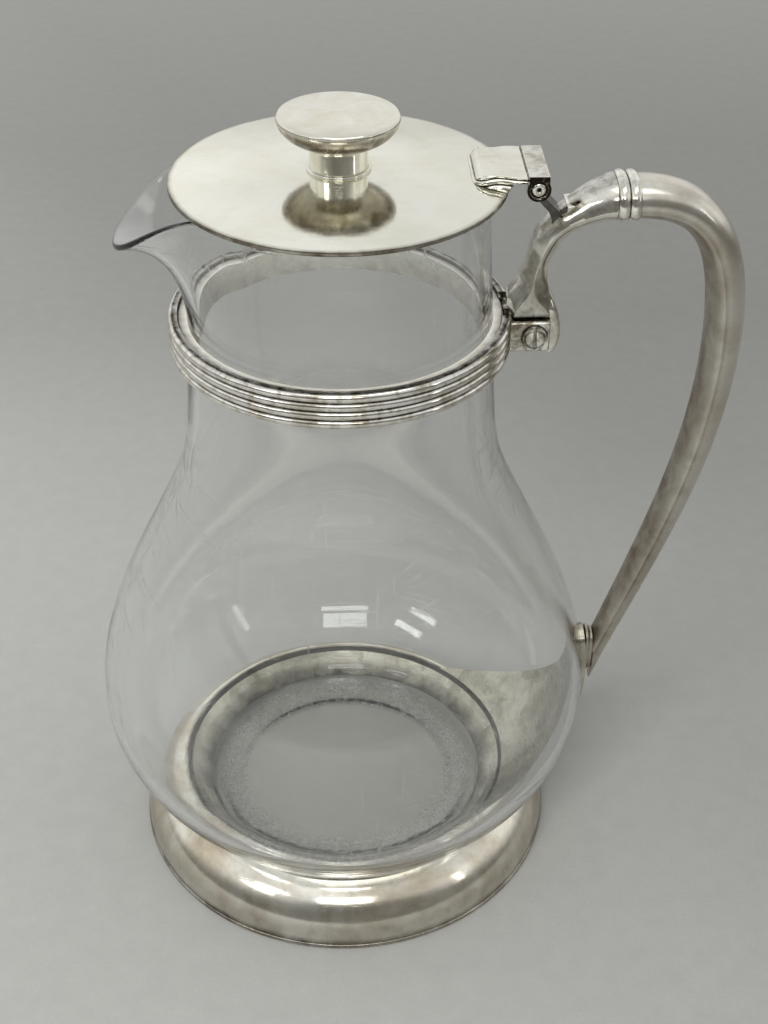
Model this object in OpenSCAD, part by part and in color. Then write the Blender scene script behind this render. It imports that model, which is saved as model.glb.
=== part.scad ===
// Claret jug: a pear-shaped glass in a silver-plated mount with a hinged lid.
// Millimetres. +Z is up, +X points to the handle and the spout is on -X.
// The origin is the centre of the foot's underside.

/* [Glass] */
// Outside radius of the belly
belly_r = 81.4; // [76:0.1:88]
// Height of the widest part of the belly
belly_z = 63; // [56:0.5:70]
// Outside radius of the flat base
base_r = 43; // [38:0.5:47]
// Height of the glass base above the table
base_z = 7.5; // [6:0.5:9]
// Thickness of the glass base
base_t = 5; // [3:0.5:8]
// Outside radius of the neck at its waist
waist_r = 46.7; // [45:0.1:49]
// Height of the waist
waist_z = 168; // [160:1:176]
// Outside radius of the rim
rim_r = 42; // [40:0.1:43]
// Height of the rim
rim_z = 241.5; // [236:0.1:247]
// Thickness of the wall
wall = 3; // [2:0.1:3.5]

/* [Spout] */
// Radius that the spout's tip reaches
spout_reach = 64; // [56:0.5:70]
// How far the tip droops below the rim
spout_drop = 18; // [10:0.5:22]
// Half angle that the spout takes up of the neck
spout_half_angle = 40; // [30:1:50]
// Height at which the spout leaves the neck
spout_z = 204; // [202:0.5:212]

/* [Foot] */
// Outside radius of the foot
foot_r = 71.5; // [68:0.5:76]
// Height of the foot
foot_h = 20; // [17:0.5:22]
// Thickness of the spun metal
foot_t = 1.4; // [1:0.1:2]
// Height of the wire under the foot
wire_h = 1.8; // [1.2:0.1:2.6]
// Width of the wire under the foot
wire_w = 2.6; // [2:0.1:3.4]
// How far the cup that holds the glass reaches down inside the foot
cup_h = 7.5; // [5:0.5:9]

/* [Back strap] */
// Height of the strap's top
strap_top_z = 76.5; // [72:0.5:80]
// Thickness of the strap
strap_t = 1.6; // [1:0.1:2.4]
// Width of the strap at its top
strap_top_w = 10; // [8:0.5:14]
// Width of the strap where it leaves the foot
strap_foot_w = 88; // [60:1:100]
// Thickness of the pad between the strap and the grip
lug_t = 2.2; // [1.5:0.1:4]
// Height of the pad
lug_h = 17.5; // [15:0.5:20]

/* [Collar] */
// Thickness of the sleeve between the glass and the reeded band
sleeve_t = 2.6; // [1.5:0.1:4]
// Height of the collar's lower edge
collar_z = 191; // [186:0.5:192]
// Number of reeds
reeds = 4; // [3:1:5]
// Height of one reed
reed_pitch = 2.7; // [2.2:0.1:3]
// Thickness of the strip behind the reeds
strip_t = 1.45; // [1:0.05:1.6]

/* [Clamp] */
// Length of the ears from the reeds outwards
ear_len = 10.9; // [10:0.1:14]
// How far the ears hang below the band
ear_drop = 1.3; // [0:0.1:2]
// Thickness of each ear
ear_t = 5.2; // [4:0.1:7]
// Height of the ears
ear_h = 9.6; // [8.5:0.1:10]
// Thickness of the tongue between the ears
tongue_t = 5; // [4:0.1:7]
// Radius of the screw's shank
screw_r = 2.4; // [1.8:0.1:2.8]
// Radius of the screw's head
screw_head_r = 4.2; // [3.6:0.1:4.4]
// Height of the screw's head
screw_head_h = 2.2; // [1.6:0.1:3]

/* [Lid] */
// Radius of the lid
lid_r = 47.3; // [46.5:0.1:48.5]
// Thickness of the lid
lid_t = 1.3; // [0.9:0.1:1.8]
// How far the lid's middle stands above its edge
lid_rise = 2.4; // [1.8:0.1:3]

/* [Knob] */
// Radius of the knob's flat top
knob_r = 17.05; // [14:0.05:20]
// Height of the knob above the middle of the lid
knob_h = 15.3; // [13:0.1:18]
// Radius of the knob's neck
knob_neck_r = 8.3; // [6:0.1:10]
// Height of the bowl under the knob's top
knob_bowl_h = 8.8; // [7:0.1:10]

/* [Hinge] */
// Distance from the lid's edge to the pin
pin_out = 7.1; // [6.8:0.1:8]
// Height of the pin above the lid's lower edge
pin_up = 1; // [0.6:0.1:1.4]
// Radius of the pin
pin_r = 1.2; // [0.9:0.05:1.4]
// Width of the hinge
hinge_w = 22; // [18:0.5:26]
// Thickness of the fixed tongue
hinge_tongue_t = 8; // [6:0.5:10]
// Radius of the fixed tongue's eye
eye_r = 2.6; // [2.4:0.05:2.7]
// Height of the knuckle's flat top above the pin
knuckle_top = 3.95; // [3.7:0.05:4.6]
// Width of the knuckle along the lid
knuckle_w = 5.8; // [5.6:0.1:6.2]
// Length of the moulded plate on the lid
plate_len = 15.5; // [12:0.5:18]
// How far the plate's moulding stands out at its foot
plate_flare = 1.2; // [0.6:0.1:2]

/* [Bracket] */
// Width of the bracket's leg
leg_w = 10.6; // [9:0.1:12]
// Thickness of the leg at its foot
leg_foot_t = 11; // [10:0.1:12]
// Thickness of the leg at its waist
leg_t = 6.6; // [5.5:0.1:8]
// Thickness of the lip that wraps behind the ears
lip_t = 3; // [2:0.1:4]

/* [Handle] */
// Distance from the glass's axis to the grip's seam at its widest
grip_x = 112.6; // [106:0.5:118]
// Width of the grip across its seam at the top
grip_w = 17.5; // [14:0.5:20]
// Width of the grip at its lower end
grip_end_w = 9.5; // [8:0.5:12]
// Depth of the outer half of the grip at the top
grip_out = 7; // [5:0.5:9]
// Depth of the inner half of the grip at the top
grip_in = 4; // [3:0.5:5]
// Distance from the glass's axis to the middle of the bead ring
ring_x = 80.5; // [78:0.5:84]
// Length of the bead ring
ring_len = 6.5; // [5:0.5:8]
// How far the beads stand proud of the grip
ring_proud = 0.9; // [0.5:0.1:1.5]

/* [Hidden] */
$fn = 96;
fit = 0.08;             // clearance between metal and glass
gap = 0.3;              // clearance between the lid's pieces and the fixed ones
run = 0.05;             // radial clearance of the pin in the fixed tongue
over = 1;               // how far a cutting tool runs past what it cuts
silver = [0.80, 0.79, 0.75];
tarnish = [0.62, 0.58, 0.50];
clear_glass = [0.80, 0.88, 0.86, 0.4];

// ---- Curves ----
function bezier(p, t) = pow(1 - t, 3) * p[0] + 3 * pow(1 - t, 2) * t * p[1]
    + 3 * (1 - t) * pow(t, 2) * p[2] + pow(t, 3) * p[3];
function curve(p, n) = [for (i = [0 : n]) bezier(p, i / n)];
function unit(v) = v / norm(v);
// Direction of a list of 2D points at point i
function along(pts, i) = unit(pts[min(i + 1, len(pts) - 1)] - pts[max(i - 1, 0)]);
// A list of 2D points moved sideways, to the left of its direction for a positive distance
function beside(pts, d) = [for (i = [0 : len(pts) - 1]) let (a = along(pts, i)) pts[i] + d * [-a[1], a[0]]];
function backwards(pts) = [for (i = [len(pts) - 1 : -1 : 0]) pts[i]];

// ---- Glass profile: base, belly, shoulder, neck ----
belly_curve = [[base_r, base_z],
               [base_r + 0.29 * (belly_r - base_r), base_z + 0.145 * (belly_z - base_z)],
               [belly_r, belly_z - 0.45 * (belly_z - base_z)],
               [belly_r, belly_z]];
shoulder_curve = [[belly_r, belly_z],
                  [belly_r, belly_z + 0.366 * (waist_z - belly_z)],
                  [waist_r - 0.7, waist_z - 0.29 * (waist_z - belly_z)],
                  [waist_r, waist_z]];
curve_steps = 16;
glass_side = concat(curve(belly_curve, curve_steps),
                    [for (i = [1 : curve_steps]) bezier(shoulder_curve, i / curve_steps)],
                    [[rim_r, rim_z]]);
glass_table = [for (p = glass_side) [p[1], p[0]]];
function glass_r(z) = lookup(z, glass_table);
// The glass's outside between two heights, moved outwards by d
function glass_skin(z0, z1, d, n = 16) =
    beside([for (i = [0 : n]) let (z = z0 + (z1 - z0) * i / n) [glass_r(z), z]], -d);

// ---- Heights and radii that follow ----
collar_h = reeds * reed_pitch;
reed_r = reed_pitch / 2;
join_z = collar_z + collar_h / 2;
strip_r = glass_r(join_z) + sleeve_t;
reed_centre_r = strip_r + strip_t;
collar_r = reed_centre_r + reed_r;
ear_x = collar_r + ear_len;
ear_w = tongue_t + 2 * ear_t;
ear_z = collar_z - ear_drop;
screw_x = ear_x - screw_head_r - 0.5;
screw_z = ear_z + 0.52 * ear_h;
lid_ball_r = (pow(lid_r, 2) + pow(lid_rise, 2)) / (2 * lid_rise);
function lid_drop(r) = lid_ball_r - sqrt(pow(lid_ball_r, 2) - pow(r, 2));
lid_mid_z = rim_z + gap + lid_t + lid_drop(rim_r - wall / 2);
lid_edge_z = lid_mid_z - lid_rise;
pin_x = lid_r + pin_out;
pin_z = lid_edge_z - lid_t + pin_up;
groove_w = 0.5;         // width of the groove between plate and knuckle
web_t = 1.4;            // thickness of the plate's end beyond the lid
plate_x = pin_x - knuckle_w / 2 - groove_w;
knuckle_r = knuckle_w / 2 + 0.5;
pin_head_r = 1.5 * pin_r;
pin_head_h = 0.5;
sink_gap = 0.75;        // clearance round the pin's heads in their recesses
strap_x = glass_r(strap_top_z - lug_h / 2) + fit + strap_t;
lug_x = strap_x + lug_t;

// ---- Glass ----
module glass_below_collar() {
    inner_z = base_z + base_t;
    outer = concat([[0, base_z]], [for (p = glass_side) if (p[1] < join_z) p], [[glass_r(join_z), join_z]]);
    inside = [for (p = beside(glass_side, wall)) if (p[1] > inner_z + wall && p[1] < join_z - wall) p];
    corner = inside[0];
    floor_curve = curve([[corner[0] - 12, inner_z], [corner[0] - 6, inner_z],
                         [corner[0] - 2, inner_z + wall / 2], corner], 5);
    rotate_extrude()
        polygon(concat(outer, [[glass_r(join_z) - wall, join_z]], backwards(inside),
                       backwards([for (i = [0 : 4]) floor_curve[i]]), [[0, inner_z]]));
}

spout_columns = 72;
spout_rows = 12;
seam_step = 0.1;
function spout_share(a) = let (b = a > 180 ? a - 360 : a)
    abs(b) < spout_half_angle ? pow(cos(90 * b / spout_half_angle), 1.75) : 0;
function spout_pull(z) = pow(max(0, (z - spout_z) / (rim_z - spout_z)), 1.6);
// A point of the neck: a is the angle from the spout, d the depth into the wall
function neck_point(a, z, d) = let (
        s = spout_share(a),
        g = spout_pull(z),
        r = glass_r(z) - d + (spout_reach - rim_r) * s * g,
        h = z - spout_drop * pow(s, 1.9) * pow(g, 1.5) + d * s * g)
    [-r * cos(a), -r * sin(a), h];
neck_foot_z = join_z - over;
lip_r = wall / 2 - seam_step;
neck_top_z = rim_z - lip_r;
// The wall's section, up the outside, round the lip and down the inside, as [height, depth]
neck_section = concat(
    [for (i = [0 : spout_rows]) [neck_foot_z + (neck_top_z - neck_foot_z) * i / spout_rows, seam_step]],
    [for (b = [36 : 36 : 144]) [neck_top_z + lip_r * sin(b), wall / 2 - lip_r * cos(b)]],
    [for (i = [spout_rows : -1 : 0])
        [neck_foot_z + (neck_top_z - neck_foot_z) * i / spout_rows, wall - seam_step]]);

// A closed ring of sections, each joined to the next and the last to the first
module ring_of_sections(points, columns, rows) {
    polyhedron(points = points, faces = [
        for (c = [0 : columns - 1]) for (r = [0 : rows - 1]) let (
            c2 = (c + 1) % columns,
            r2 = (r + 1) % rows,
            p = c * rows + r, q = c * rows + r2, s = c2 * rows + r2, t = c2 * rows + r)
        each [[p, q, s], [p, s, t]]]);
}

module neck_and_spout() {
    ring_of_sections([for (c = [0 : spout_columns - 1]) for (w = neck_section)
                         neck_point(c * 360 / spout_columns, w[0], w[1])],
                     spout_columns, len(neck_section));
}

module glass_body() {
    color(clear_glass) union() {
        glass_below_collar();
        neck_and_spout();
    }
}

// ---- Foot ----
foot_top_r = glass_r(foot_h) + fit;
foot_curve = curve([[foot_r, wire_h], [foot_r, 0.52 * foot_h], [foot_r - 5.5, 0.86 * foot_h],
                    [foot_top_r + foot_t, foot_h]], 14);
foot_outline = concat(foot_curve, [[foot_top_r, foot_h]], backwards(beside(foot_curve, foot_t)));

module foot_section() {
    difference() {
        polygon(foot_outline);
        polygon(concat([[0, foot_h]], [[0, base_z]], glass_skin(base_z, foot_h, fit),
                       [[foot_top_r, foot_h + over], [0, foot_h + over]]));
        square([foot_r + over, wire_h]);
    }
}

module foot_ring() {
    color(silver) rotate_extrude() foot_section();
}

module foot_wire() {
    round_r = wire_h / 2;
    color(tarnish) rotate_extrude() translate([foot_r + 0.4 - wire_w, 0]) {
        square([wire_w - round_r, wire_h]);
        translate([wire_w - round_r, round_r]) circle(round_r);
        translate([wire_w - round_r, 0]) square([round_r / 2, round_r]);
    }
}

module foot_seat() {
    inner = beside(foot_curve, foot_t);
    top = inner[len(inner) - 1];
    low_z = foot_h - cup_h;
    color(silver) rotate_extrude() difference() {
        polygon(concat(glass_skin(low_z, foot_h, fit + foot_t), backwards(glass_skin(low_z, foot_h, fit))));
        polygon(concat(inner, [[0, top[1]], [0, foot_h + over], [foot_r, foot_h + over]]));
    }
}

// ---- Back strap and the pad that holds the grip ----
function strap_half_w(z) = let (u = (strap_top_z - z) / (strap_top_z - foot_h))
    strap_top_w / 2 + (strap_foot_w - strap_top_w) / 2 * pow(max(u, 0), 2.3);

module strap_outline() {
    low_z = foot_h;
    side = [for (i = [0 : 20]) let (z = low_z + (strap_top_z - low_z) * i / 20) [strap_half_w(z), z]];
    polygon(concat(side, [for (p = backwards(side)) [-p[0], p[1]]]));
}

module back_strap() {
    color(silver) intersection() {
        rotate_extrude()
            polygon(concat(glass_skin(foot_h, strap_top_z, fit),
                           backwards(glass_skin(foot_h, strap_top_z, fit + strap_t))));
        rotate([90, 0, 90]) linear_extrude(belly_r + 2 * strap_t) strap_outline();
    }
}

module handle_lug() {
    low_z = strap_top_z - lug_h;
    color(silver) difference() {
        translate([strap_x - 3 * strap_t, -strap_top_w / 2, low_z])
            cube([lug_x - strap_x + 3 * strap_t, strap_top_w, lug_h]);
        rotate_extrude($fn = 360)
            polygon(concat([[0, foot_h]], glass_skin(foot_h, strap_top_z, fit + strap_t),
                           [[0, strap_top_z + over], [0, foot_h]]));
    }
}

// ---- Handle: seam line of the grip, from the bead ring to the pad ----
ring_z = pin_z - 8;
lug_mid_z = strap_top_z - lug_h / 2;
grip_start = [ring_x + ring_len / 2, ring_z];
grip_bend_z = lug_mid_z + 0.735 * (ring_z - lug_mid_z);
top_curve = [grip_start, [grip_x - 11, ring_z], [grip_x - 0.7, ring_z - 10], [grip_x, grip_bend_z]];
grip_drop = grip_bend_z - lug_mid_z;
lower_curve = [[grip_x, grip_bend_z], [grip_x + 0.7, grip_bend_z - 0.33 * grip_drop],
               [lug_x + 0.125 * grip_drop, lug_mid_z + 0.385 * grip_drop], [lug_x, lug_mid_z]];
grip_path = concat(curve(top_curve, 18), [for (i = [1 : 22]) bezier(lower_curve, i / 22)]);
grip_last = len(grip_path) - 1;
// 0 along the top bend, rising to 1 at the lower end
function grip_taper(i) = pow(max(0, (i - 16) / (grip_last - 16)), 1.2);
function grip_half_w(i) = (grip_w + (grip_end_w - grip_w) * grip_taper(i)) / 2;
function grip_depth(i, deep) = deep * (1 - 0.42 * grip_taper(i));
// One half of the oval: side is 1 for the outer half and -1 for the inner half
half_points = 10;
function oval_half(half_w, deep, squareness) = [for (k = [0 : half_points]) let (a = 180 * k / half_points)
    [-half_w * sign(cos(a)) * pow(abs(cos(a)), squareness), deep * pow(abs(sin(a)), squareness)]];
// A section placed on the path: [sideways, outwards] becomes [x, y, z]
function grip_place(i, v, u) = let (
        a = along(grip_path, i),
        p = grip_path[i] + u * [-a[1], a[0]])
    i == grip_last
        ? let (t = (lug_x - p[0]) / a[0]) [lug_x, v, p[1] + t * a[1]]
        : i == 0 ? [grip_start[0], v, grip_start[1] + u] : [p[0], v, p[1]];
function grip_section(i, side) = [for (w = oval_half(grip_half_w(i),
                                                    grip_depth(i, side > 0 ? grip_out : grip_in),
                                                    side > 0 ? 0.8 : 1))
    grip_place(i, w[0], side * w[1])];

// Sections of n points each joined in order, with flat ends
module loft(sections, flip = false) {
    n = len(sections[0]);
    m = len(sections);
    sides = [for (i = [0 : m - 2]) for (k = [0 : n - 1]) let (
            k2 = (k + 1) % n, p = i * n + k, q = i * n + k2, s = (i + 1) * n + k2, t = (i + 1) * n + k)
        each [[p, q, s], [p, s, t]]];
    ends = [[for (k = [n - 1 : -1 : 0]) k], [for (k = [0 : n - 1]) (m - 1) * n + k]];
    faces = concat(sides, ends);
    polyhedron(points = [for (s = sections) each s],
               faces = flip ? [for (f = faces) backwards(f)] : faces);
}

module grip_outer() {
    color(silver) loft([for (i = [0 : grip_last]) grip_section(i, 1)], flip = true);
}

module grip_inner() {
    color(tarnish) loft([for (i = [0 : grip_last]) grip_section(i, -1)]);
}

// ---- Bead ring ----
function oval(half_w, out, inn) = concat(
    oval_half(half_w, out, 0.8),
    [for (w = backwards(oval_half(half_w, inn, 1))) if (abs(w[0]) < half_w - 0.01) [w[0], -w[1]]]);

module handle_ring() {
    rows = 14;
    color(silver) loft(flip = true, sections = [for (i = [0 : rows]) let (
            u = i / rows,
            bead = ring_proud * sqrt(abs(sin(360 * u))) + 0.1,
            x = ring_x - ring_len / 2 + ring_len * u)
        [for (w = oval(grip_w / 2 + bead, grip_out + bead, grip_in + bead)) [x, w[0], ring_z + w[1]]]]);
}

// ---- Bracket: leg up from the clamp, bent over to the bead ring ----
leg_x = collar_r + 0.48 * ear_len;
leg_foot_z = ear_z + ear_h + 0.7;
ring_start_x = ring_x - ring_len / 2;
leg_rise = ring_z - leg_foot_z;
leg_curve = [[leg_x, leg_foot_z], [leg_x - 0.9, leg_foot_z + 0.235 * leg_rise],
             [leg_x + 0.5, ring_z - 0.28 * leg_rise],
             [leg_x + 0.46 * (ring_start_x - leg_x), ring_z - 0.122 * leg_rise]];
arm_start = leg_curve[3];
arm_curve = [arm_start, arm_start + [3.5, 1.9], [ring_start_x - 4, ring_z - 0.3], [ring_start_x, ring_z]];
bracket_path = concat(curve(leg_curve, 20), [for (i = [1 : 8]) bezier(arm_curve, i / 8)]);
bracket_last = len(bracket_path) - 1;
// Steps of the path where the section is set: foot, heel, above it, waist, bend, shoulder and ring
stations = [0, 2, 4, 5, 7, 10, 15, 20, bracket_last];
function bracket_value(i, v) = lookup(i, [for (k = [0 : len(stations) - 1]) [stations[k], v[k]]]);
function halfway(p, q, swell) = (p + q) / 2 * swell;
// The section, as [sideways, towards the neck]: square at the foot, then a diamond with a ridge
// down each side, then the oval of the ring
function bracket_section(i) = let (
        a = i == 0 ? [0, 1] : i == bracket_last ? [1, 0] : along(bracket_path, i),
        w = bracket_value(i, [leg_w, leg_w, leg_w, leg_w, 0.97 * leg_w, 0.95 * leg_w, 1.05 * leg_w,
                              1.25 * leg_w, grip_w]) / 2,
        out = bracket_value(i, concat(leg_foot_t * [0.49, 0.63, 0.61, 0.5],
                                      leg_t * [0.56, 0.47, 0.6, 0.6], [grip_out])),
        inn = bracket_value(i, concat(leg_foot_t * [0.51, 0.6, 0.54, 0.47],
                                      leg_t * [0.65, 0.545, 0.58, 0.67], [grip_in])),
        crown = bracket_value(i, [0.5, 0.45, 0.42, 0.38, 0.3, 0.28, 0.5, 0.78, 0.62]),
        face = bracket_value(i, [0.9, 0.8, 0.6, 0.42, 0.14, 0.06, 0.05, 0.05, 0.05]),
        under = bracket_value(i, [0.8, 0.7, 0.6, 0.5, 0.36, 0.34, 0.34, 0.36, 0.5]),
        swell = bracket_value(i, [1.02, 1.03, 1.04, 1.05, 1.07, 1.08, 1.1, 1.13, 1.16]),
        half = [[crown * w, out], halfway([crown * w, out], [w, face * out], swell), [w, face * out],
                [w, -face * inn], halfway([w, -face * inn], [under * w, -inn], swell), [under * w, -inn]])
    [for (q = concat([for (h = half) [-h[0], h[1]]], backwards(half)))
        let (p = bracket_path[i] + q[1] * [-a[1], a[0]]) [p[0], q[0], p[1]]];

// The lip that wraps down behind the ears, and the tongue between them
module clamp_foot() {
    low_z = ear_z - 0.19 * ear_h;
    lip_top = [leg_x + 0.46 * leg_t, leg_foot_z + 1.16 * ear_h];
    lip_curve = curve([[ear_x + 0.67 * lip_t, low_z], [ear_x + 1.73 * lip_t, ear_z + 0.29 * ear_h],
                       [ear_x + 1.13 * lip_t, leg_foot_z + 0.17 * ear_h], lip_top], 14);
    rotate([90, 0, 0]) {
        linear_extrude(0.9 * leg_w, center = true)
            polygon(concat([[ear_x, low_z]], lip_curve,
                           [[leg_x, lip_top[1]], [leg_x, leg_foot_z], [ear_x, leg_foot_z]]));
        linear_extrude(tongue_t, center = true) difference() {
            translate([collar_r - 0.1 * ear_len, ear_z + 0.8])
                square([1.14 * ear_len, leg_foot_z - ear_z]);
            translate([screw_x, screw_z]) circle(screw_r + fit);
        }
    }
}

// The square end of the arm behind the lid's hinge
module stop_block() {
    stop_x = pin_x + 9.3;
    end_x = arm_start[0] + 0.35 * (ring_start_x - arm_start[0]);
    rotate([90, 0, 0]) linear_extrude(leg_w, center = true)
        polygon([[stop_x, ring_z - grip_in], [stop_x, ring_z], [stop_x + 2.6, ring_z + 0.2],
                 [end_x, ring_z + 0.2 * grip_out], [end_x, ring_z - 1]]);
}

module handle_bracket() {
    color(silver) difference() {
        union() {
            loft([for (i = [0 : bracket_last]) bracket_section(i)], flip = true);
            clamp_foot();
            stop_block();
        }
        hinge_tongue_solid();
    }
}

// ---- Hinge tongue: an eye on a bar, with an arm that runs into the bracket ----
module hinge_tongue_outline() {
    circle(eye_r);
    polygon(eye_r * [[-0.86, -0.5], [-0.23, -1.31], [0.46, -2.46], [1.6, -3.7], [2, -4.6], [2, -5.4],
                     [3.4, -5.4], [3.4, -4.4], [3, -4], [1.35, -2.3], [1, -1.85], [0.77, -1.9], [0.77, 0]]);
}

module hinge_tongue_solid() {
    translate([pin_x, 0, pin_z]) rotate([90, 0, 0]) linear_extrude(hinge_tongue_t, center = true)
        hinge_tongue_outline();
}

module hinge_tongue() {
    color(tarnish) difference() {
        hinge_tongue_solid();
        translate([pin_x, 0, pin_z]) rotate([90, 0, 0])
            cylinder(r = pin_r + run, h = hinge_tongue_t + 2 * over, center = true);
    }
}

// ---- Collar ----
module collar_band() {
    color(silver) difference() {
        rotate_extrude() {
            translate([strip_r, collar_z]) square([strip_t, collar_h]);
            for (i = [0 : reeds - 1])
                translate([reed_centre_r, collar_z + (i + 0.5) * reed_pitch]) circle(reed_r, $fn = 24);
        }
        translate([0, -ear_w / 2, collar_z - over]) cube([collar_r + over, ear_w, collar_h + 2 * over]);
    }
}

module collar_sleeve() {
    low_z = collar_z + 0.6;
    high_z = collar_z + collar_h - 1;
    color(tarnish) rotate_extrude()
        polygon([[glass_r(low_z) + fit, low_z], [strip_r, low_z], [strip_r, high_z],
                 [glass_r(high_z) + fit, high_z]]);
}

// side is -1 for the front ear and 1 for the rear ear
module ear(side, bore_r) {
    round_r = 1.2;
    difference() {
        translate([0, side * tongue_t / 2, ear_z]) rotate([90, 0, 0])
            linear_extrude(ear_t, center = false, convexity = 4) union() {
                square([ear_x - round_r, ear_h]);
                translate([0, round_r]) square([ear_x, ear_h - 2 * round_r]);
                for (z = [round_r, ear_h - round_r])
                    translate([ear_x - round_r, z]) circle(round_r, $fn = 24);
            }
        cylinder(r = strip_r, h = rim_z);
        translate([screw_x, 0, screw_z]) rotate([90, 0, 0])
            cylinder(r = bore_r, h = 2 * ear_w, center = true);
    }
}

module collar_ear_front() {
    sink = 0.5;
    color(silver) difference() {
        ear(-1, screw_r + fit);
        translate([screw_x, -ear_w / 2 + sink, screw_z]) rotate([90, 0, 0])
            cylinder(r = screw_head_r + gap, h = sink + over);
    }
}

module collar_ear_rear() {
    color(silver) translate([0, ear_t, 0]) ear(1, screw_r);
}

module clamp_screw() {
    sink = 0.5;
    slot_w = 1.1;
    head_y = -ear_w / 2 + sink;
    dome_r = 3.2 * screw_head_r;
    color(silver) translate([screw_x, head_y, screw_z]) difference() {
        union() {
            rotate([90, 0, 0]) intersection() {
                cylinder(r = screw_head_r, h = screw_head_h);
                translate([0, 0, screw_head_h - dome_r]) sphere(dome_r);
            }
            rotate([-90, 0, 0]) cylinder(r = screw_r, h = ear_w - sink + over);
        }
        translate([-slot_w / 2, -screw_head_h - over, -screw_head_r - over])
            cube([slot_w, over + 1.1, 2 * (screw_head_r + over)]);
    }
}

// ---- Lid ----
// The dome's top, from the axis out to the lid's edge, as [r, z]
dome_steps = 12;
dome_curve = [for (i = [0 : dome_steps]) let (r = lid_r * i / dome_steps) [r, lid_mid_z - lid_drop(r)]];

// Everything under the lid's top, as far down as its lower edge
module under_dome() {
    rotate_extrude()
        polygon(concat([[0, lid_edge_z - lid_t]], dome_curve, [[lid_r, lid_edge_z - lid_t]]));
}

module lid_disc() {
    stud_r = 2;
    color(silver) difference() {
        rotate_extrude()
            polygon(concat(dome_curve,
                           backwards([for (p = beside(dome_curve, -lid_t)) [max(p[0], 0), p[1]]])));
        translate([0, 0, lid_edge_z]) cylinder(r = stud_r, h = 2 * lid_rise + lid_t, center = true);
    }
}

// Moulded edge: a square top over a cove and a bead, from the point [0, 0] at its top
module moulding(w) {
    drop = knuckle_top + pin_up;
    translate([0, -drop]) square([w, drop]);
    translate([-plate_flare * 0.3, -drop * 0.52]) circle(plate_flare * 0.6, $fn = 24);
    translate([-plate_flare, -drop]) square([w + plate_flare, drop * 0.36]);
}

module hinge_plate() {
    top_z = pin_z + knuckle_top;
    half_w = hinge_w / 2;
    slope_w = 1.25 * plate_flare;
    low_z = lid_edge_z - lid_t;
    start_x = plate_x - plate_len;
    arch_x = lid_r - 0.7;
    arch_r = 1.4;
    arch_z = top_z - web_t - arch_r;
    color(silver) difference() {
        intersection() {
            translate([start_x, 0, top_z]) rotate([90, 0, 90]) linear_extrude(2 * plate_len, center = true)
                for (s = [0, 1]) mirror([s, 0]) translate([-half_w, 0]) moulding(half_w);
            rotate([90, 0, 0]) linear_extrude(2 * hinge_w, center = true)
                polygon([[start_x, low_z], [plate_x, low_z], [plate_x, top_z],
                         [start_x + plate_flare + slope_w, top_z],
                         [start_x + plate_flare, top_z - 0.75 * slope_w],
                         [start_x + plate_flare, top_z - 2 * slope_w], [start_x, top_z - 2.5 * slope_w]]);
        }
        under_dome();
        rotate([90, 0, 0]) linear_extrude(2 * hinge_w, center = true) {
            translate([arch_x + arch_r, arch_z]) circle(arch_r, $fn = 32);
            translate([arch_x, low_z - over]) square([plate_len, arch_z - low_z + over]);
            translate([arch_x + arch_r, low_z - over]) square([plate_len, arch_z + arch_r - low_z + over]);
        }
    }
}

module hinge_knuckle() {
    eye_clear = eye_r + gap;
    color(silver) translate([pin_x, 0, pin_z]) rotate([90, 0, 0]) difference() {
        linear_extrude(hinge_w, center = true) {
            circle(knuckle_r);
            translate([-knuckle_w / 2 - groove_w, knuckle_top - web_t]) square([knuckle_w, web_t / 2]);
            translate([-knuckle_w / 2, 0]) square([knuckle_w, knuckle_top]);
        }
        translate([-knuckle_w, -knuckle_w, -hinge_tongue_t / 2 - gap])
            cube([2 * knuckle_w, knuckle_w + eye_clear, hinge_tongue_t + 2 * gap]);
        cylinder(r = pin_r, h = 2 * hinge_w, center = true);
        for (s = [-1, 1]) translate([0, 0, s * hinge_w / 2])
            cylinder(r = pin_head_r + sink_gap, h = 2 * pin_head_h, center = true);
    }
}

module hinge_pin() {
    dimple_r = 0.35 * pin_head_r;
    color(tarnish) translate([pin_x, 0, pin_z]) rotate([90, 0, 0]) difference() {
        union() {
            cylinder(r = pin_r, h = hinge_w - 2 * pin_head_h, center = true);
            for (s = [-1, 1]) translate([0, 0, s * (hinge_w - pin_head_h) / 2])
                cylinder(r = pin_head_r, h = pin_head_h, center = true);
        }
        for (s = [-1, 1]) translate([0, 0, s * hinge_w / 2])
            cylinder(r = dimple_r, h = pin_head_h, center = true);
    }
}

// ---- Knob ----
module knob() {
    top_z = lid_mid_z + knob_h;
    edge = 0.5;
    bowl = [for (a = [0 : 7.5 : 60]) [knob_r * cos(a), top_z - edge - knob_bowl_h * sin(a)]];
    neck_z = top_z - edge - knob_bowl_h * sin(60);
    stud_r = 2;
    color(silver) difference() {
        rotate_extrude()
            polygon(concat([[0, top_z], [knob_r - edge, top_z]], bowl,
                           [[knob_neck_r, neck_z - 0.4], [knob_neck_r, lid_edge_z], [0, lid_edge_z]]));
        under_dome();
        translate([0, 0, lid_edge_z]) cylinder(r = stud_r, h = lid_rise + 8);
    }
}

module knob_ring() {
    bead_r = 0.55;
    color(silver) rotate_extrude()
        translate([knob_neck_r, lid_mid_z - lid_drop(knob_neck_r)]) difference() {
            translate([0.6 * bead_r, 0.7 * bead_r]) circle(bead_r, $fn = 24);
            translate([-bead_r, -bead_r]) square([bead_r, 3 * bead_r]);
            translate([-bead_r, -bead_r]) square([3 * bead_r, bead_r]);
        }
}

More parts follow.
